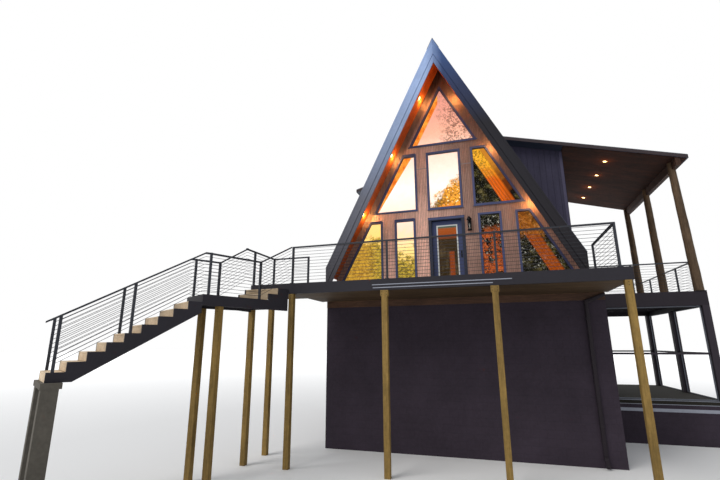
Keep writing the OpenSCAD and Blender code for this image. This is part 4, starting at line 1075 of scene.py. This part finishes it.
def window_set(outlines, matrix):
    """Casings with liners and sills, and sashes, drawn in a wall facing -Y and then moved."""
    casings, sashes = [], []
    for p in outlines:
        (x0, z0), (x1, _) = p[0], p[1]
        casings += [
            ease(ring("casing", p, CASING_W, -0.028, 0.001), 0.005, 2),
            ring("liner", inner(p, CASING_W / 2), CASING_W / 2, 0.001, 0.07),
            eased("sill", (x0 - 0.015, -0.052, z0 - 0.018), (x1 + 0.015, -0.026, z0 + 0.016),
                  0.006, 2),
        ]
        sashes.append(ease(ring("sash", inner(p, CASING_W - 0.006), 0.016, -0.012, 0.0275), 0.004))
    for piece in casings + sashes:
        shift(piece, matrix)
    return casings, sashes


class CABIN_OT_windows(bpy.types.Operator):
    """Trim every window with casings, liners, sashes and sills"""

    bl_idname = "cabin.windows"
    bl_label = "Windows"

    def execute(self, context):
        casings, sashes = [], []
        for outlines, matrix in (
                (FRONT_WINDOWS, STILL), (REAR_WINDOWS, REAR),
                (dormer_windows("right"), move(BODY_RIGHT) @ turn(90)),
                (dormer_windows("left"), move(-BODY_LEFT) @ turn(-90) @ MIRROR)):
            more_casings, more_sashes = window_set(outlines, matrix)
            casings += more_casings
            sashes += more_sashes
        finish(join("window_casings", casings), "trim", stands_for=["window_frames"])
        finish(join("window_sashes", sashes), "door_trim")
        return {"FINISHED"}


class CABIN_OT_door(bpy.types.Operator):
    """Add the front door's glazing beads, edge beads and kick plate, and the casing's head trim
    and sill
    """

    bl_idname = "cabin.door"
    bl_label = "Front Door"

    def execute(self, context):
        low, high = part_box("door_glass")
        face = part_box("front_door")[0].y
        lip = 0.022
        outer_lite = rectangle(low.x - lip, high.x + lip, low.z - lip, high.z + lip)
        lite = rectangle(low.x, high.x, low.z, high.z)
        frames = [ease(ring("bead", outer_lite, 0.036, face - 0.012, face + 0.002), 0.004, 2),
                  ease(ring("stop", lite, 0.014, face - 0.002, face + 0.014), 0.003)]
        finish(join("door_lite_frame", frames), "lite_frame", "door")
        beads = [eased("edge", (x0, face - 0.003, FLOOR + 0.06),
                       (x1, face + 0.001, FLOOR + 2.03), 0.001)
                 for x0, x1 in ((-0.452, -0.44), (0.43, 0.442))]
        finish(join("door_beads", beads), "door_paint", "door")
        kick = eased("door_kick", (-0.4, face - 0.004, low.z - 0.2),
                     (0.4, face + 0.001, low.z - 0.04), 0.002)
        finish(kick, "black_metal", "door")
        trims = [eased("cap", (-0.548, -0.034, DOOR_HEAD - 0.006),
                       (0.548, -0.004, DOOR_HEAD + 0.008), 0.003),
                 eased("band", (-0.535, -0.034, DOOR_HEAD - 0.07),
                       (0.535, -0.027, DOOR_HEAD - 0.012), 0.002),
                 eased("sill", (-0.5, -0.09, FLOOR + 0.001), (0.5, -0.026, FLOOR + 0.021), 0.006)]
        finish(join("door_head_trim", trims), "trim")
        return {"FINISHED"}


def seam(start, end, lift):
    """One standing seam between two points of a roof, raised by lift."""
    half = Vector((0, 0.011, 0))
    return ease(slab("seam", [start - half, end - half, end - half + lift, start - half + lift],
                     half * 2), 0.004)


class CABIN_OT_roof(bpy.types.Operator):
    """Add standing seams to the roofs"""

    bl_idname = "cabin.roof"
    bl_label = "Roof Seams"

    def execute(self, context):
        step, high = sizes().seam_step, sizes().seam_high
        start, *ends = (Vector((x, 0, RIDGE - x * PITCH))
                        for x in (0.185, FOOT_X - 0.004, SHED_MEET - 0.03))
        lift = Vector((PITCH, 0, 1)) / SLOPE * high
        full, short = (seam(start, end, lift) for end in ends)
        front = -0.88
        pieces = []
        for side, sign in SIDES:
            for k in range(int((HOUSE_BACK + 0.6 - front) / step) + 1):
                y = front + k * step
                under_shed = DORMER_FRONT[side] - 0.52 < y < DORMER_BACK + 0.37
                pieces.append(copy(short if under_shed else full,
                                   (MIRROR if sign < 0 else STILL) @ move(0, y)))
        for model in (full, short):
            bpy.data.objects.remove(model)
        for side, sign in SIDES:
            front = DORMER_FRONT[side] - 0.5
            start, end = (Vector((sign * x, 0, SHED - x * SHED_FALL))
                          for x in (SHED_MEET + 0.05, EAVE[side] - 0.004))
            row = shift(seam(start, end, Vector((0, 0, high))), move(0, front + 0.06))
            count = int((DORMER_BACK + 0.25 - front) / step) + 1
            pieces.append(repeat(row, count, (0, step, 0)))
        finish(join("roof_seams", pieces), "roof_metal")
        return {"FINISHED"}


def barge_band(name, d0, d1, y_front, y_foot, thick):
    """Part of the right barge board between two depths square to the slope."""
    top, low = RIDGE - d0 * SLOPE, RIDGE - d1 * SLOPE
    points = [(0, top), (0, low)]
    end = low - FOOT_X * PITCH
    if end < FLOOR:
        points += [((low - FLOOR) / PITCH, FLOOR), (FOOT_X, FLOOR)]
    else:
        points.append((FOOT_X, end))
    points.append((FOOT_X, top - FOOT_X * PITCH))
    slant = (y_foot - y_front) / FOOT_X
    return slab(name, [(x, y_front + slant * x, z) for x, z in points], (0, -thick, 0))


class CABIN_OT_barges(bpy.types.Operator):
    """Build the barge boards in two bands, with their drip edges"""

    bl_idname = "cabin.barges"
    bl_label = "Barge Boards"

    def execute(self, context):
        wide = 0.375
        split = wide * 0.64
        bands, edges = [], []
        for y_front, y_foot, matrix in ((-1.25, -0.9, STILL), (-0.6, -0.6, REAR)):
            upper = ease(barge_band("upper", 0.002, split, y_front, y_foot, 0.037), 0.004)
            lower = ease(barge_band("lower", split + 0.011, wide, y_front, y_foot, 0.03), 0.004)
            core = barge_band("core", split - 0.01, split + 0.02, y_front, y_foot, 0.016)
            drip = ease(barge_band("drip", 0.0005, 0.05, y_front, y_foot, 0.0418), 0.002)
            bands += [shift(piece, matrix) for piece in (upper, lower, core)]
            edges.append(shift(drip, matrix))
        finish(both(join("barge_bands", bands)), "barge", stands_for=["barge_boards"])
        finish(both(join("barge_drip_edge", edges)), "barge")
        return {"FINISHED"}


class CABIN_OT_lights(bpy.types.Operator):
    """Add trim rings and real light to the recessed lights"""

    bl_idname = "cabin.lights"
    bl_label = "Recessed Lights"

    def execute(self, context):
        deselect()
        bpy.ops.mesh.primitive_circle_add(vertices=32, radius=0.074, fill_type="NGON")
        trim = ease(border(context.object, 0.017, (0, 0, 0.012)), 0.003)
        gable = [(sign * x, -0.405, LINING_FACE - x * PITCH - HAIR * SLOPE)
                 for x in (0.6, 1.55, 2.5) for sign in (1, -1)]
        porch_x = 5.41
        porch = [(porch_x, 3.77 + k * 1.363, SHED_UNDER - 0.021 - porch_x * SHED_FALL)
                 for k in range(4)]
        rings = []
        for number, place in enumerate(gable + porch):
            in_gable = number < len(gable)
            lean = -math.copysign(PITCH, place[0]) if in_gable else -SHED_FALL
            down = Vector((lean, 0, -1)).normalized()
            aim = down.to_track_quat("Z", "Y").to_matrix().to_4x4()
            rings.append(copy(trim, move(*place) @ aim))
            hang, ahead, power = (0.09, 0.17, 12.0) if in_gable else (0.16, 0.0, 4.0)
            hidden_lamp(f"downlight {number}", power, (1.0, 0.58, 0.18), 0.03,
                        Vector(place) + down * hang + Vector((0, ahead, 0)))
        bpy.data.objects.remove(trim)
        finish(join("light_trims", rings), "black_metal")
        return {"FINISHED"}


def knotty_log(name, y, z0, z1, seed):
    """A peeled tree trunk with slow bends and swellings."""
    deselect()
    bpy.ops.mesh.primitive_cylinder_add(vertices=36, radius=0.5, depth=1, end_fill_type="NGON")
    log = bpy.context.object
    log.name = name
    for level in [0] + [step / 40 - 0.5 for step in range(1, 40)]:
        edit(log)
        bpy.ops.mesh.bisect(plane_co=(0, 0, level), plane_no=(0, 0, 1))
        bpy.ops.object.mode_set(mode="OBJECT")
    for vertex in log.data.vertices:
        share = vertex.co.z + 0.5
        angle = math.atan2(vertex.co.y, vertex.co.x)
        away = Vector((math.cos(angle), math.sin(angle), share * 7 + seed))
        swell = 1 + 0.05 * noise.noise(away * 1.3) + 0.025 * noise.noise(away * 4)
        radius = (LOG_FOOT + (LOG_HEAD - LOG_FOOT) * share) / 2 * LOG_SLIM * swell
        middle = min(1.0, 6 * min(share, 1 - share))
        drift = Vector((noise.noise((seed, 0, share * 2)), noise.noise((0, seed, share * 2)), 0))
        flat = Vector((vertex.co.x, vertex.co.y, 0))
        if flat.length > 1e-6:
            flat = flat.normalized() * radius
        vertex.co = Vector((0, y, z0 + (z1 - z0) * share)) + flat + drift * 0.012 * middle
    return soften(log, 60)


class CABIN_OT_porch(bpy.types.Operator):
    """Build the log posts of the porch with their stubs and plates"""

    bl_idname = "cabin.porch"
    bl_label = "Porch Logs"

    def execute(self, context):
        low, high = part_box("porch_logs")
        logs, plates = [], []
        for number, y in enumerate((3.36, 6.0, 8.64)):
            foot = LOG_X + (LOG_SPLAY if number == 0 else 0)
            head = LOG_X - LOG_LEAN
            log = knotty_log("log", y, low.z + 0.012, high.z - 0.01, 3.7 * number)
            for k in range(5):
                share = 0.14 + 0.17 * k + 0.03 * math.sin(7 * k + number)
                angle = 2.4 * k + 1.3 * number
                radius = (LOG_FOOT + (LOG_HEAD - LOG_FOOT) * share) / 2 * LOG_SLIM
                away = Vector((math.cos(angle), math.sin(angle), 0))
                at = Vector((0, y, low.z + (high.z - low.z) * share))
                stub = rod("stub", at + away * (radius - 0.04), at + away * (radius - 0.002),
                           0.024, 14)
                log = join("log", [log, ease(stub, 0.006, 2)])
            for vertex in log.data.vertices:
                share = (vertex.co.z - low.z) / (high.z - low.z)
                vertex.co.x += foot + (head - foot) * share
            cut(log, bar("beam", (LOG_X - 0.071, y - 0.3, BEAM_LOW), (LOG_X + 0.4, y + 0.3, 9.2)))
            logs.append(log)
            plates.append(eased("plate", (foot - 0.142, y - 0.142, low.z + HAIR),
                                (foot + 0.142, y + 0.142, low.z + 0.014), 0.003))
        finish(join("porch_log_posts", logs), "log", stands_for=["porch_logs"])
        finish(join("porch_log_plates", plates), "black_metal")
        return {"FINISHED"}


def clipped_boards(name, outline, along, level):
    """Deck boards lying along X or Y inside a plan outline, with gaps and eased edges."""
    width, gap = sizes().deck_board, sizes().deck_gap
    (x0, x1), (y0, y1) = ((min(values), max(values)) for values in zip(*outline))
    top, under = level - HAIR, level - HAIR - DECK_BOARD
    if along == "X":
        board = bar(name, (x0 - 0.1, y0 + gap / 2, under), (x1 + 0.1, y0 + width - gap / 2, top))
        across, step = y1 - y0, (0, width, 0)
    else:
        board = bar(name, (x0 + gap / 2, y0 - 0.1, under), (x0 + width - gap / 2, y1 + 0.1, top))
        across, step = x1 - x0, (width, 0, 0)
    boards = repeat(ease(board, 0.004), math.ceil(across / width) + 1, step)
    area = slab("area", [(x, y, under - 0.1) for x, y in outline], (0, 0, DECK_BOARD + 0.2))
    return cut(boards, area, keep=True)


class CABIN_OT_decks(bpy.types.Operator):
    """Lay the deck, entry and landing boards one by one"""

    bl_idname = "cabin.decks"
    bl_label = "Deck Boards"

    def execute(self, context):
        front = [(-5.077, -2.307), (3.992, -2.307), (3.992, -0.001), (-3.969, -0.001),
                 (-3.969, -1.193), (-5.077, -1.193)]
        landing = inner([tuple(p) for p in (STAIR_TOP, FLIGHT_NEAR, FLIGHT_FAR, STAIR_FAR)], 0.042)
        boards = join("front_deck_boards", [clipped_boards("front", front, "X", FLOOR),
                                            clipped_boards("landing", landing, "X", LANDING)])
        finish(boards, "deck_timber", stands_for=["deck_boards"])
        side = rectangle(3.951, 7.457, 3.293, 8.707)
        finish(clipped_boards("side_deck_boards", side, "Y", FLOOR), "side_deck_timber")
        strips = [eased("strip", (x0, DECK_FRONT - 0.0025, FLOOR + z - 0.01),
                        (x1, DECK_FRONT + HAIR, FLOOR + z + 0.01), 0.001)
                  for x0, x1, z in ((-1.68, 1.62, -0.143), (-1.66, 1.2, -0.218))]
        finish(join("deck_rim_strips", strips), "pale_strip")
        return {"FINISHED"}


def post_with_head(x, y, top, head):
    """A chamfered timber post down to the ground, with a bolted head if asked for."""
    half = POST_HALF - HAIR
    post = eased("post", (x - half, y - half, 0.0), (x + half, y + half,
                                                     top - (0.149 if head else HAIR)), 0.008, 2)
    edit(post)
    bpy.ops.mesh.subdivide(number_cuts=1)
    pieces = [close(post)]
    if head:
        pieces.append(eased("head", (x - 0.095, y - half, top - 0.15),
                            (x + 0.095, y + half, top - HAIR), 0.008, 2))
    front = y - POST_HALF
    bolts = [ease(rod("bolt", (x + dx, front - 0.004, z), (x + dx, front + 0.01, z), 0.011, 6),
                  0.0015)
             for z in (top - 0.045, top - 0.11) for dx in ((-0.06, 0.06) if head else (0.0,))]
    return pieces, bolts


def beside(start, end, share):
    """A place part of the way along a landing edge, inside it by a post's half width."""
    way = (end - start).normalized()
    return start + (end - start) * share + Vector((-way.y, way.x)) * 0.098


class CABIN_OT_posts(bpy.types.Operator):
    """Build the deck's timber posts with their heads and bolts"""

    bl_idname = "cabin.posts"
    bl_label = "Deck Posts"

    def execute(self, context):
        under = FLOOR - DECK_RIM
        y = DECK_FRONT + POST_HALF
        places = []
        for k in range(4):
            headed = k in (1, 2)
            x = DECK_LEFT + POST_HALF + k * POST_STEP - (0.08 if headed else 0)
            places.append((x, y, under, headed))
        for post_y in (y, DECK_FRONT + ENTRY_DEEP - POST_HALF):
            places.append((ENTRY_LEFT + 0.035, post_y, under, False))
        for p in (beside(STAIR_TOP, FLIGHT_NEAR, 0.27), beside(FLIGHT_FAR, STAIR_FAR, 0.73)):
            places.append((p.x, p.y, LANDING - 0.24, False))
        posts, bolts = [], []
        for place in places:
            timbers, metal = post_with_head(*place)
            posts += timbers
            bolts += metal
        finish(join("deck_post_timbers", posts), "post_timber",
               stands_for=["deck_posts"])
        finish(join("deck_post_bolts", bolts), "black_metal")
        return {"FINISHED"}


def step_boards(start, side0, side1, level, rise, sideways=False):
    """A step's planks and riser, then its nosing, of a flight along X, or along Y if sideways."""
    def board(name, along, inset, heights, *rounding):
        low = [start + along[0], side0 + inset, level - heights[0]]
        high = [start + along[1], side1 - inset, level - heights[1]]
        if sideways:
            low[:2], high[:2] = low[1::-1], high[1::-1]
        return eased(name, low, high, *rounding)

    planks = [board("plank", along, 0, (0.038, HAIR), 0.006, 2)
              for along in ((HAIR, 0.139), (0.145, 0.2855))]
    planks.append(board("riser", (0.001, 0.0195), 0, (rise - 0.001, 0.039), 0.003))
    return planks, [board("edge", (0.0002, 0.012), 0.004, (0.012, 0.0002), 0.002)]


class CABIN_OT_stair(bpy.types.Operator):
    """Build the stair's planks and risers with their nosings"""

    bl_idname = "cabin.stair"
    bl_label = "Stair"

    def execute(self, context):
        planks, edges = [], []
        along_stair = move(STAIR_TOP.x, STAIR_TOP.y) @ Matrix.Rotation(TURN, 4, "Z")
        for below in range(9, 0, -1):
            boards, nosing = step_boards(-below * GOING, STEP_SIDE, 1 - STEP_SIDE,
                                         LANDING - below * RISE, RISE)
            planks += [shift(piece, along_stair) for piece in boards]
            edges += [shift(piece, along_stair) for piece in nosing]
        rise = LANDING_DROP / 3
        for i in (0, 1):
            right = FLIGHT_NEAR.x + (DECK_LEFT - FLIGHT_NEAR.x) * i / 2 - 0.002 - STEP_SIDE
            boards, nosing = step_boards(FLIGHT_FAR.y + i * GOING, ENTRY_LEFT + STEP_SIDE, right,
                                         LANDING + (i + 1) * rise, rise, sideways=True)
            planks += boards
            edges += nosing
        finish(join("stair_planks", planks), "stair_timber",
               stands_for=["stair_treads"])
        finish(join("stair_nosings", edges), "nosing")
        return {"FINISHED"}


class CABIN_OT_lower_porch(bpy.types.Operator):
    """Add the lower porch's screen frames, edge strips and footing band"""

    bl_idname = "cabin.lower_porch"
    bl_label = "Lower Porch"

    def execute(self, context):
        frames = []
        for x0, x1, y0, y1, matrix in ((3.96, 7.30, 3.345, 3.37, STILL),
                                       (3.45, 5.895, -0.0125, 0.0125, move(7.42) @ turn(90)),
                                       (6.105, 8.55, -0.0125, 0.0125, move(7.42) @ turn(90))):
            bay = ring("bay", rectangle(x0, x1, 1.252, 4.055), 0.035, y0, y1)
            frames.append(ease(shift(bay, matrix), 0.003))
        finish(join("screen_frames", frames), "screen_frame")
        strips = [eased("strip", (3.952, 3.2505 - proud, z0), (7.4995, 3.2505, z1), 0.001)
                  for z0, z1, proud in ((1.235, 1.2495, 0.003), (0.915, 1.01, 0.002),
                                        (1.12, 1.135, 0.003))]
        finish(join("lower_porch_edges", strips), "pale_strip")
        return {"FINISHED"}


class CABIN_OT_lantern(bpy.types.Operator):
    """Build the wall lantern with its cage, glass and cap"""

    bl_idname = "cabin.lantern"
    bl_label = "Wall Lantern"

    def execute(self, context):
        low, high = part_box("wall_lantern")
        wide = (high.x - low.x) / 2
        x, y, z0, z1 = low.x + wide, low.y + wide, low.z, high.z
        top, middle = z1 - z0, (z0 + z1) / 2
        profiles = [
            ("base", z0, [(0.001, 0.0), (0.5, 0.0), (0.62, 0.006), (0.84, 0.012), (0.88, 0.03),
                          (0.7, 0.036), (0.66, 0.05), (0.001, 0.05)]),
            ("cap", z1, [(0.001, -0.13), (0.66, -0.13), (0.7, -0.118), (0.97, -0.108),
                         (0.95, -0.098), (0.7, -0.07), (0.42, -0.035), (0.3, -0.026),
                         (0.24, -0.006), (0.14, -0.0005), (0.001, -0.0003)]),
        ]
        hoop = [(0.66, 0.0), (0.74, 0.0), (0.74, 0.007), (0.66, 0.007), (0.66, 0.0)]
        profiles += [("hoop", z0 + top * share, hoop) for share in (0.4, 0.72)]
        metal = [eased("plate", (x - 0.054, -0.02, middle - 0.11),
                       (x + 0.054, -0.0092, middle + 0.11), 0.004, 2),
                 eased("arm", (x - 0.01, -0.1, z1 - 0.05), (x + 0.01, -0.019, z1 - 0.032), 0.003)]
        metal += [turned(name, profile, wide, x, y, z) for name, z, profile in profiles]
        for k in range(6):
            angle = math.radians(30 + 60 * k)
            dx, dy = math.cos(angle) * wide * 0.7, math.sin(angle) * wide * 0.7
            metal.append(rod("bar", (x + dx, y + dy, z0 + 0.045), (x + dx, y + dy, z1 - 0.125),
                             0.0035, 8))
        finish(soften(join("lantern_metal", metal)), "black_metal",
               stands_for=["wall_lantern"])
        pane = [(0.6, 0.05), (0.6, top - 0.13), (0.57, top - 0.13), (0.57, 0.05), (0.6, 0.05)]
        finish(soften(turned("lantern_glass", pane, wide, x, y, z0)), "lantern_pane")
        bulb = [(0.001, 0.05), (0.14, 0.052), (0.14, 0.13), (0.2, 0.16), (0.22, 0.185),
                (0.16, 0.215), (0.001, 0.225)]
        finish(soften(turned("lantern_bulb", bulb, wide, x, y, z0)), "lamp_off")
        return {"FINISHED"}


class CABIN_OT_downspout(bpy.types.Operator):
    """Build the rounded rectangular downspout with its elbows and straps"""

    bl_idname = "cabin.downspout"
    bl_label = "Downspout"

    def execute(self, context):
        x0, x1 = SPOUT_X - SPOUT_HALF, SPOUT_X + SPOUT_HALF
        back, front = -0.0405, -0.1045
        foot, ledge = 0.26, 4.026
        top = FLOOR - DECK_RIM - 2 * SPOUT_HALF - 0.01
        end, kick = BODY_RIGHT - 0.001, front - 0.13
        run = slab("run", [(x0, back, foot), (x1, back, foot), (x1, back, ledge - 2 * SPOUT_HALF),
                           (end, back, top), (end, back, top + 0.089), (x0, back, ledge)],
                   (0, front - back, 0))
        shoe = slab("shoe", [(x0, back, foot + 0.001), (x0, back, foot * 0.77),
                             (x0, front, foot * 0.42), (x0, kick, foot * 0.12),
                             (x0, kick, foot * 0.38), (x0, front, foot * 0.77),
                             (x0, front, foot + 0.001)], (x1 - x0, 0, 0))
        pieces = [ease(run, 0.012, 3), ease(shoe, 0.01, 3)]
        for z in (foot + (ledge - foot) * 0.08, ledge / 2, ledge - (ledge - foot) * 0.13):
            pieces.append(eased("strap", (x0 - 0.005, front - 0.0035, z),
                                (x1 + 0.005, -0.0205, z + 0.034), 0.003))
        for z in (0.9, 2.6):
            pieces.append(eased("sleeve", (x0 - 0.0025, front - 0.0025, z),
                                (x1 + 0.0025, back - 0.001, z + 0.07), 0.006, 2))
        finish(soften(join("downspout_pipe", pieces)), "downspout",
               stands_for=["downspout"])
        return {"FINISHED"}


class CABIN_OT_inside(bpy.types.Operator):
    """Add the lit ceiling lining and the sheets glowing with painted reflections and painted
    light, seen through the windows and the door
    """

    bl_idname = "cabin.inside"
    bl_label = "Lit Inside"

    def execute(self, context):
        top, reach, thick = CEILING - 0.02, 3.37, 0.026
        foot = top - reach * PITCH
        linings = [slab("lining", [(0, 0.16, top), (x, 0.16, foot), (x, 0.16, foot - thick),
                                   (0, 0.16, top - thick)], (0, 3.0, 0))
                   for x in (-reach, reach)]
        finish(join("inner_lining", linings), "inner_cedar")
        low, edge, head = FLOOR + 0.02, top - 0.04, FLOOR + 2.2
        side = 3.3
        corner = max(low + 0.01, edge - side * PITCH)
        outline = [(-side, low), (-0.55, low), (-0.55, head), (0.55, head), (0.55, low),
                   (side, low), (side, corner), (0, edge), (-side, corner)]
        # Sheets behind the windows that glow with painted reflections.
        finish(upright("inner_screens", outline, 0.1545, 0.16), "screen")
        # A sheet behind the door glass that glows with painted light.
        hall = upright("hall_glow", rectangle(-1.1, 0.8, low, FLOOR + 2.9), 1.6, 1.61)
        finish(hall, "hall")
        for number, (y, z) in enumerate(((3.6, FLOOR + 3.0), (7.0, FLOOR + 2.6))):
            hidden_lamp(f"inner {number}", 60, (1.0, 0.68, 0.38), 0.08, (0, y, z))
        return {"FINISHED"}


class CABIN_OT_dormers(bpy.types.Operator):
    """Board the dormers and add their corner trim"""

    bl_idname = "cabin.dormers"
    bl_label = "Dormer Boards"

    def execute(self, context):
        wide, deep = sizes().dormer_board, 0.01
        low, under = FLOOR + 0.002, SHED_UNDER - 0.004
        meet, edge = WALL_MEET + 0.01, 3.505
        pieces, trims = [], []
        for side, reach in (("right", BODY_RIGHT), ("left", BODY_LEFT)):
            mirror = MIRROR if side == "left" else STILL
            front = DORMER_FRONT[side]
            high = under - reach * SHED_FALL
            end = [(edge, low), (reach, low), (reach, high), (meet, under - meet * SHED_FALL),
                   (edge, RIDGE - edge * PITCH + 0.01)]
            if side == "left":
                end = flipped(end)
            wall = rectangle(front + 0.001, DORMER_BACK - 0.001, low, high)
            for name, outline, holes, matrix in (
                    ("end", end, [], move(0, front)),
                    ("end", flipped(end), [], move(0, DORMER_BACK) @ turn(180)),
                    ("side", wall, dormer_windows(side), mirror @ move(reach) @ turn(90))):
                pieces.append(shift(grooved(name, outline, holes, wide, deep), matrix))
            x0, x1, head = reach - 0.09, reach + 0.016, high - 0.006
            for y0, y1, face in ((front - 0.016, front + 0.09, front - 0.016),
                                 (DORMER_BACK - 0.09, DORMER_BACK + 0.016, DORMER_BACK + 0.002)):
                for piece in (bar("corner", (x0, face, low), (x1, face + 0.014, head)),
                              bar("corner", (x1 - 0.014, y0, low), (x1, y1, head))):
                    trims.append(ease(shift(piece, mirror), 0.003))
        finish(join("dormer_boards", pieces), "dormer_siding")
        finish(join("dormer_corner_trim", trims), "dormer_trim")
        return {"FINISHED"}


class CABIN_OT_eaves(bpy.types.Operator):
    """Add the shed roofs' fascias in two bands with their metal edges"""

    bl_idname = "cabin.eaves"
    bl_label = "Shed Fascias"

    def execute(self, context):
        bands, edges = [], []
        layers = ((0.002, 0.016, 0.009, edges), (0.018, 0.07, 0.004, bands),
                  (0.076, 0.129, 0.0025, bands))
        x0 = SHED_MEET + 0.13
        for side, sign in SIDES:
            x1 = EAVE[side]
            for y, away in ((DORMER_FRONT[side] - 0.5, -1), (DORMER_BACK + 0.35, 1)):
                for drop0, drop1, thick, target in layers:
                    points = [(sign * (x - back), y, SHED - drop - x * SHED_FALL)
                              for x, back, drop in ((x0, 0, drop1), (x1, 0.001, drop1),
                                                    (x1, 0.001, drop0), (x0, 0, drop0))]
                    target.append(ease(slab("band", points, (0, away * thick, 0)), 0.001))
        finish(join("shed_fascia_bands", bands), "fascia")
        finish(join("shed_edge_metal", edges), "edge_metal")
        return {"FINISHED"}


class CABIN_OT_rail_fittings(bpy.types.Operator):
    """Add base plates and bolts under the rail posts"""

    bl_idname = "cabin.rail_fittings"
    bl_label = "Rail Fittings"

    def execute(self, context):
        plate = eased("plate", (-0.055, -0.055, 0.0), (0.055, 0.055, 0.008), 0.003)
        bolts = [rod("bolt", (dx, dy, 0.006), (dx, dy, 0.016), 0.008, 6)
                 for dx in (-0.042, 0.042) for dy in (-0.042, 0.042)]
        foot = join("foot", [plate] + bolts)
        first = DECK_LEFT + RAIL_HALF
        second = first + POST_STEP + POST_HALF - RAIL_HALF
        feet = [copy(foot, move(x, DECK_FRONT + RAIL_HALF, FLOOR + HAIR))
                for x in (first + 0.025, second, second + POST_STEP, DECK_RIGHT - 0.22)]
        bpy.data.objects.remove(foot)
        finish(join("rail_feet", feet), "rail_metal")
        return {"FINISHED"}


STEPS = [
    CABIN_OT_stage, CABIN_OT_structure, CABIN_OT_siding, CABIN_OT_windows, CABIN_OT_door,
    CABIN_OT_dormers, CABIN_OT_roof, CABIN_OT_barges, CABIN_OT_eaves, CABIN_OT_lights,
    CABIN_OT_porch, CABIN_OT_decks, CABIN_OT_posts, CABIN_OT_rail_fittings, CABIN_OT_stair,
    CABIN_OT_lower_porch, CABIN_OT_lantern, CABIN_OT_downspout, CABIN_OT_inside,
]


class CABIN_PT_panel(bpy.types.Panel):
    """Cabin finishes in the 3D view's sidebar"""

    bl_label = "Cabin"
    bl_idname = "CABIN_PT_panel"
    bl_space_type = "VIEW_3D"
    bl_region_type = "UI"
    bl_category = "Cabin"

    def draw(self, context):
        column = self.layout.column()
        for settings in (sizes(), colours()):
            for key in settings.__annotations__:
                column.prop(settings, key)
            column.separator()
        for step in STEPS:
            column.operator(step.bl_idname)


CLASSES = [CabinSizes, CabinColours] + STEPS + [CABIN_PT_panel]


def register():
    for kind in CLASSES:
        bpy.utils.register_class(kind)
    bpy.types.Scene.cabin_sizes = bpy.props.PointerProperty(type=CabinSizes)
    bpy.types.Scene.cabin_colours = bpy.props.PointerProperty(type=CabinColours)


def unregister():
    del bpy.types.Scene.cabin_colours
    del bpy.types.Scene.cabin_sizes
    for kind in reversed(CLASSES):
        bpy.utils.unregister_class(kind)


def main():
    """Build every piece in order."""
    register()
    make_finishes()
    bpy.ops.cabin.stage()
    bpy.ops.cabin.structure()
    bpy.ops.cabin.siding()
    bpy.ops.cabin.windows()
    bpy.ops.cabin.door()
    bpy.ops.cabin.dormers()
    bpy.ops.cabin.roof()
    bpy.ops.cabin.barges()
    bpy.ops.cabin.eaves()
    bpy.ops.cabin.lights()
    bpy.ops.cabin.porch()
    bpy.ops.cabin.decks()
    bpy.ops.cabin.posts()
    bpy.ops.cabin.rail_fittings()
    bpy.ops.cabin.stair()
    bpy.ops.cabin.lower_porch()
    bpy.ops.cabin.lantern()
    bpy.ops.cabin.downspout()
    bpy.ops.cabin.inside()
    deselect()


if __name__ == "__main__":
    main()
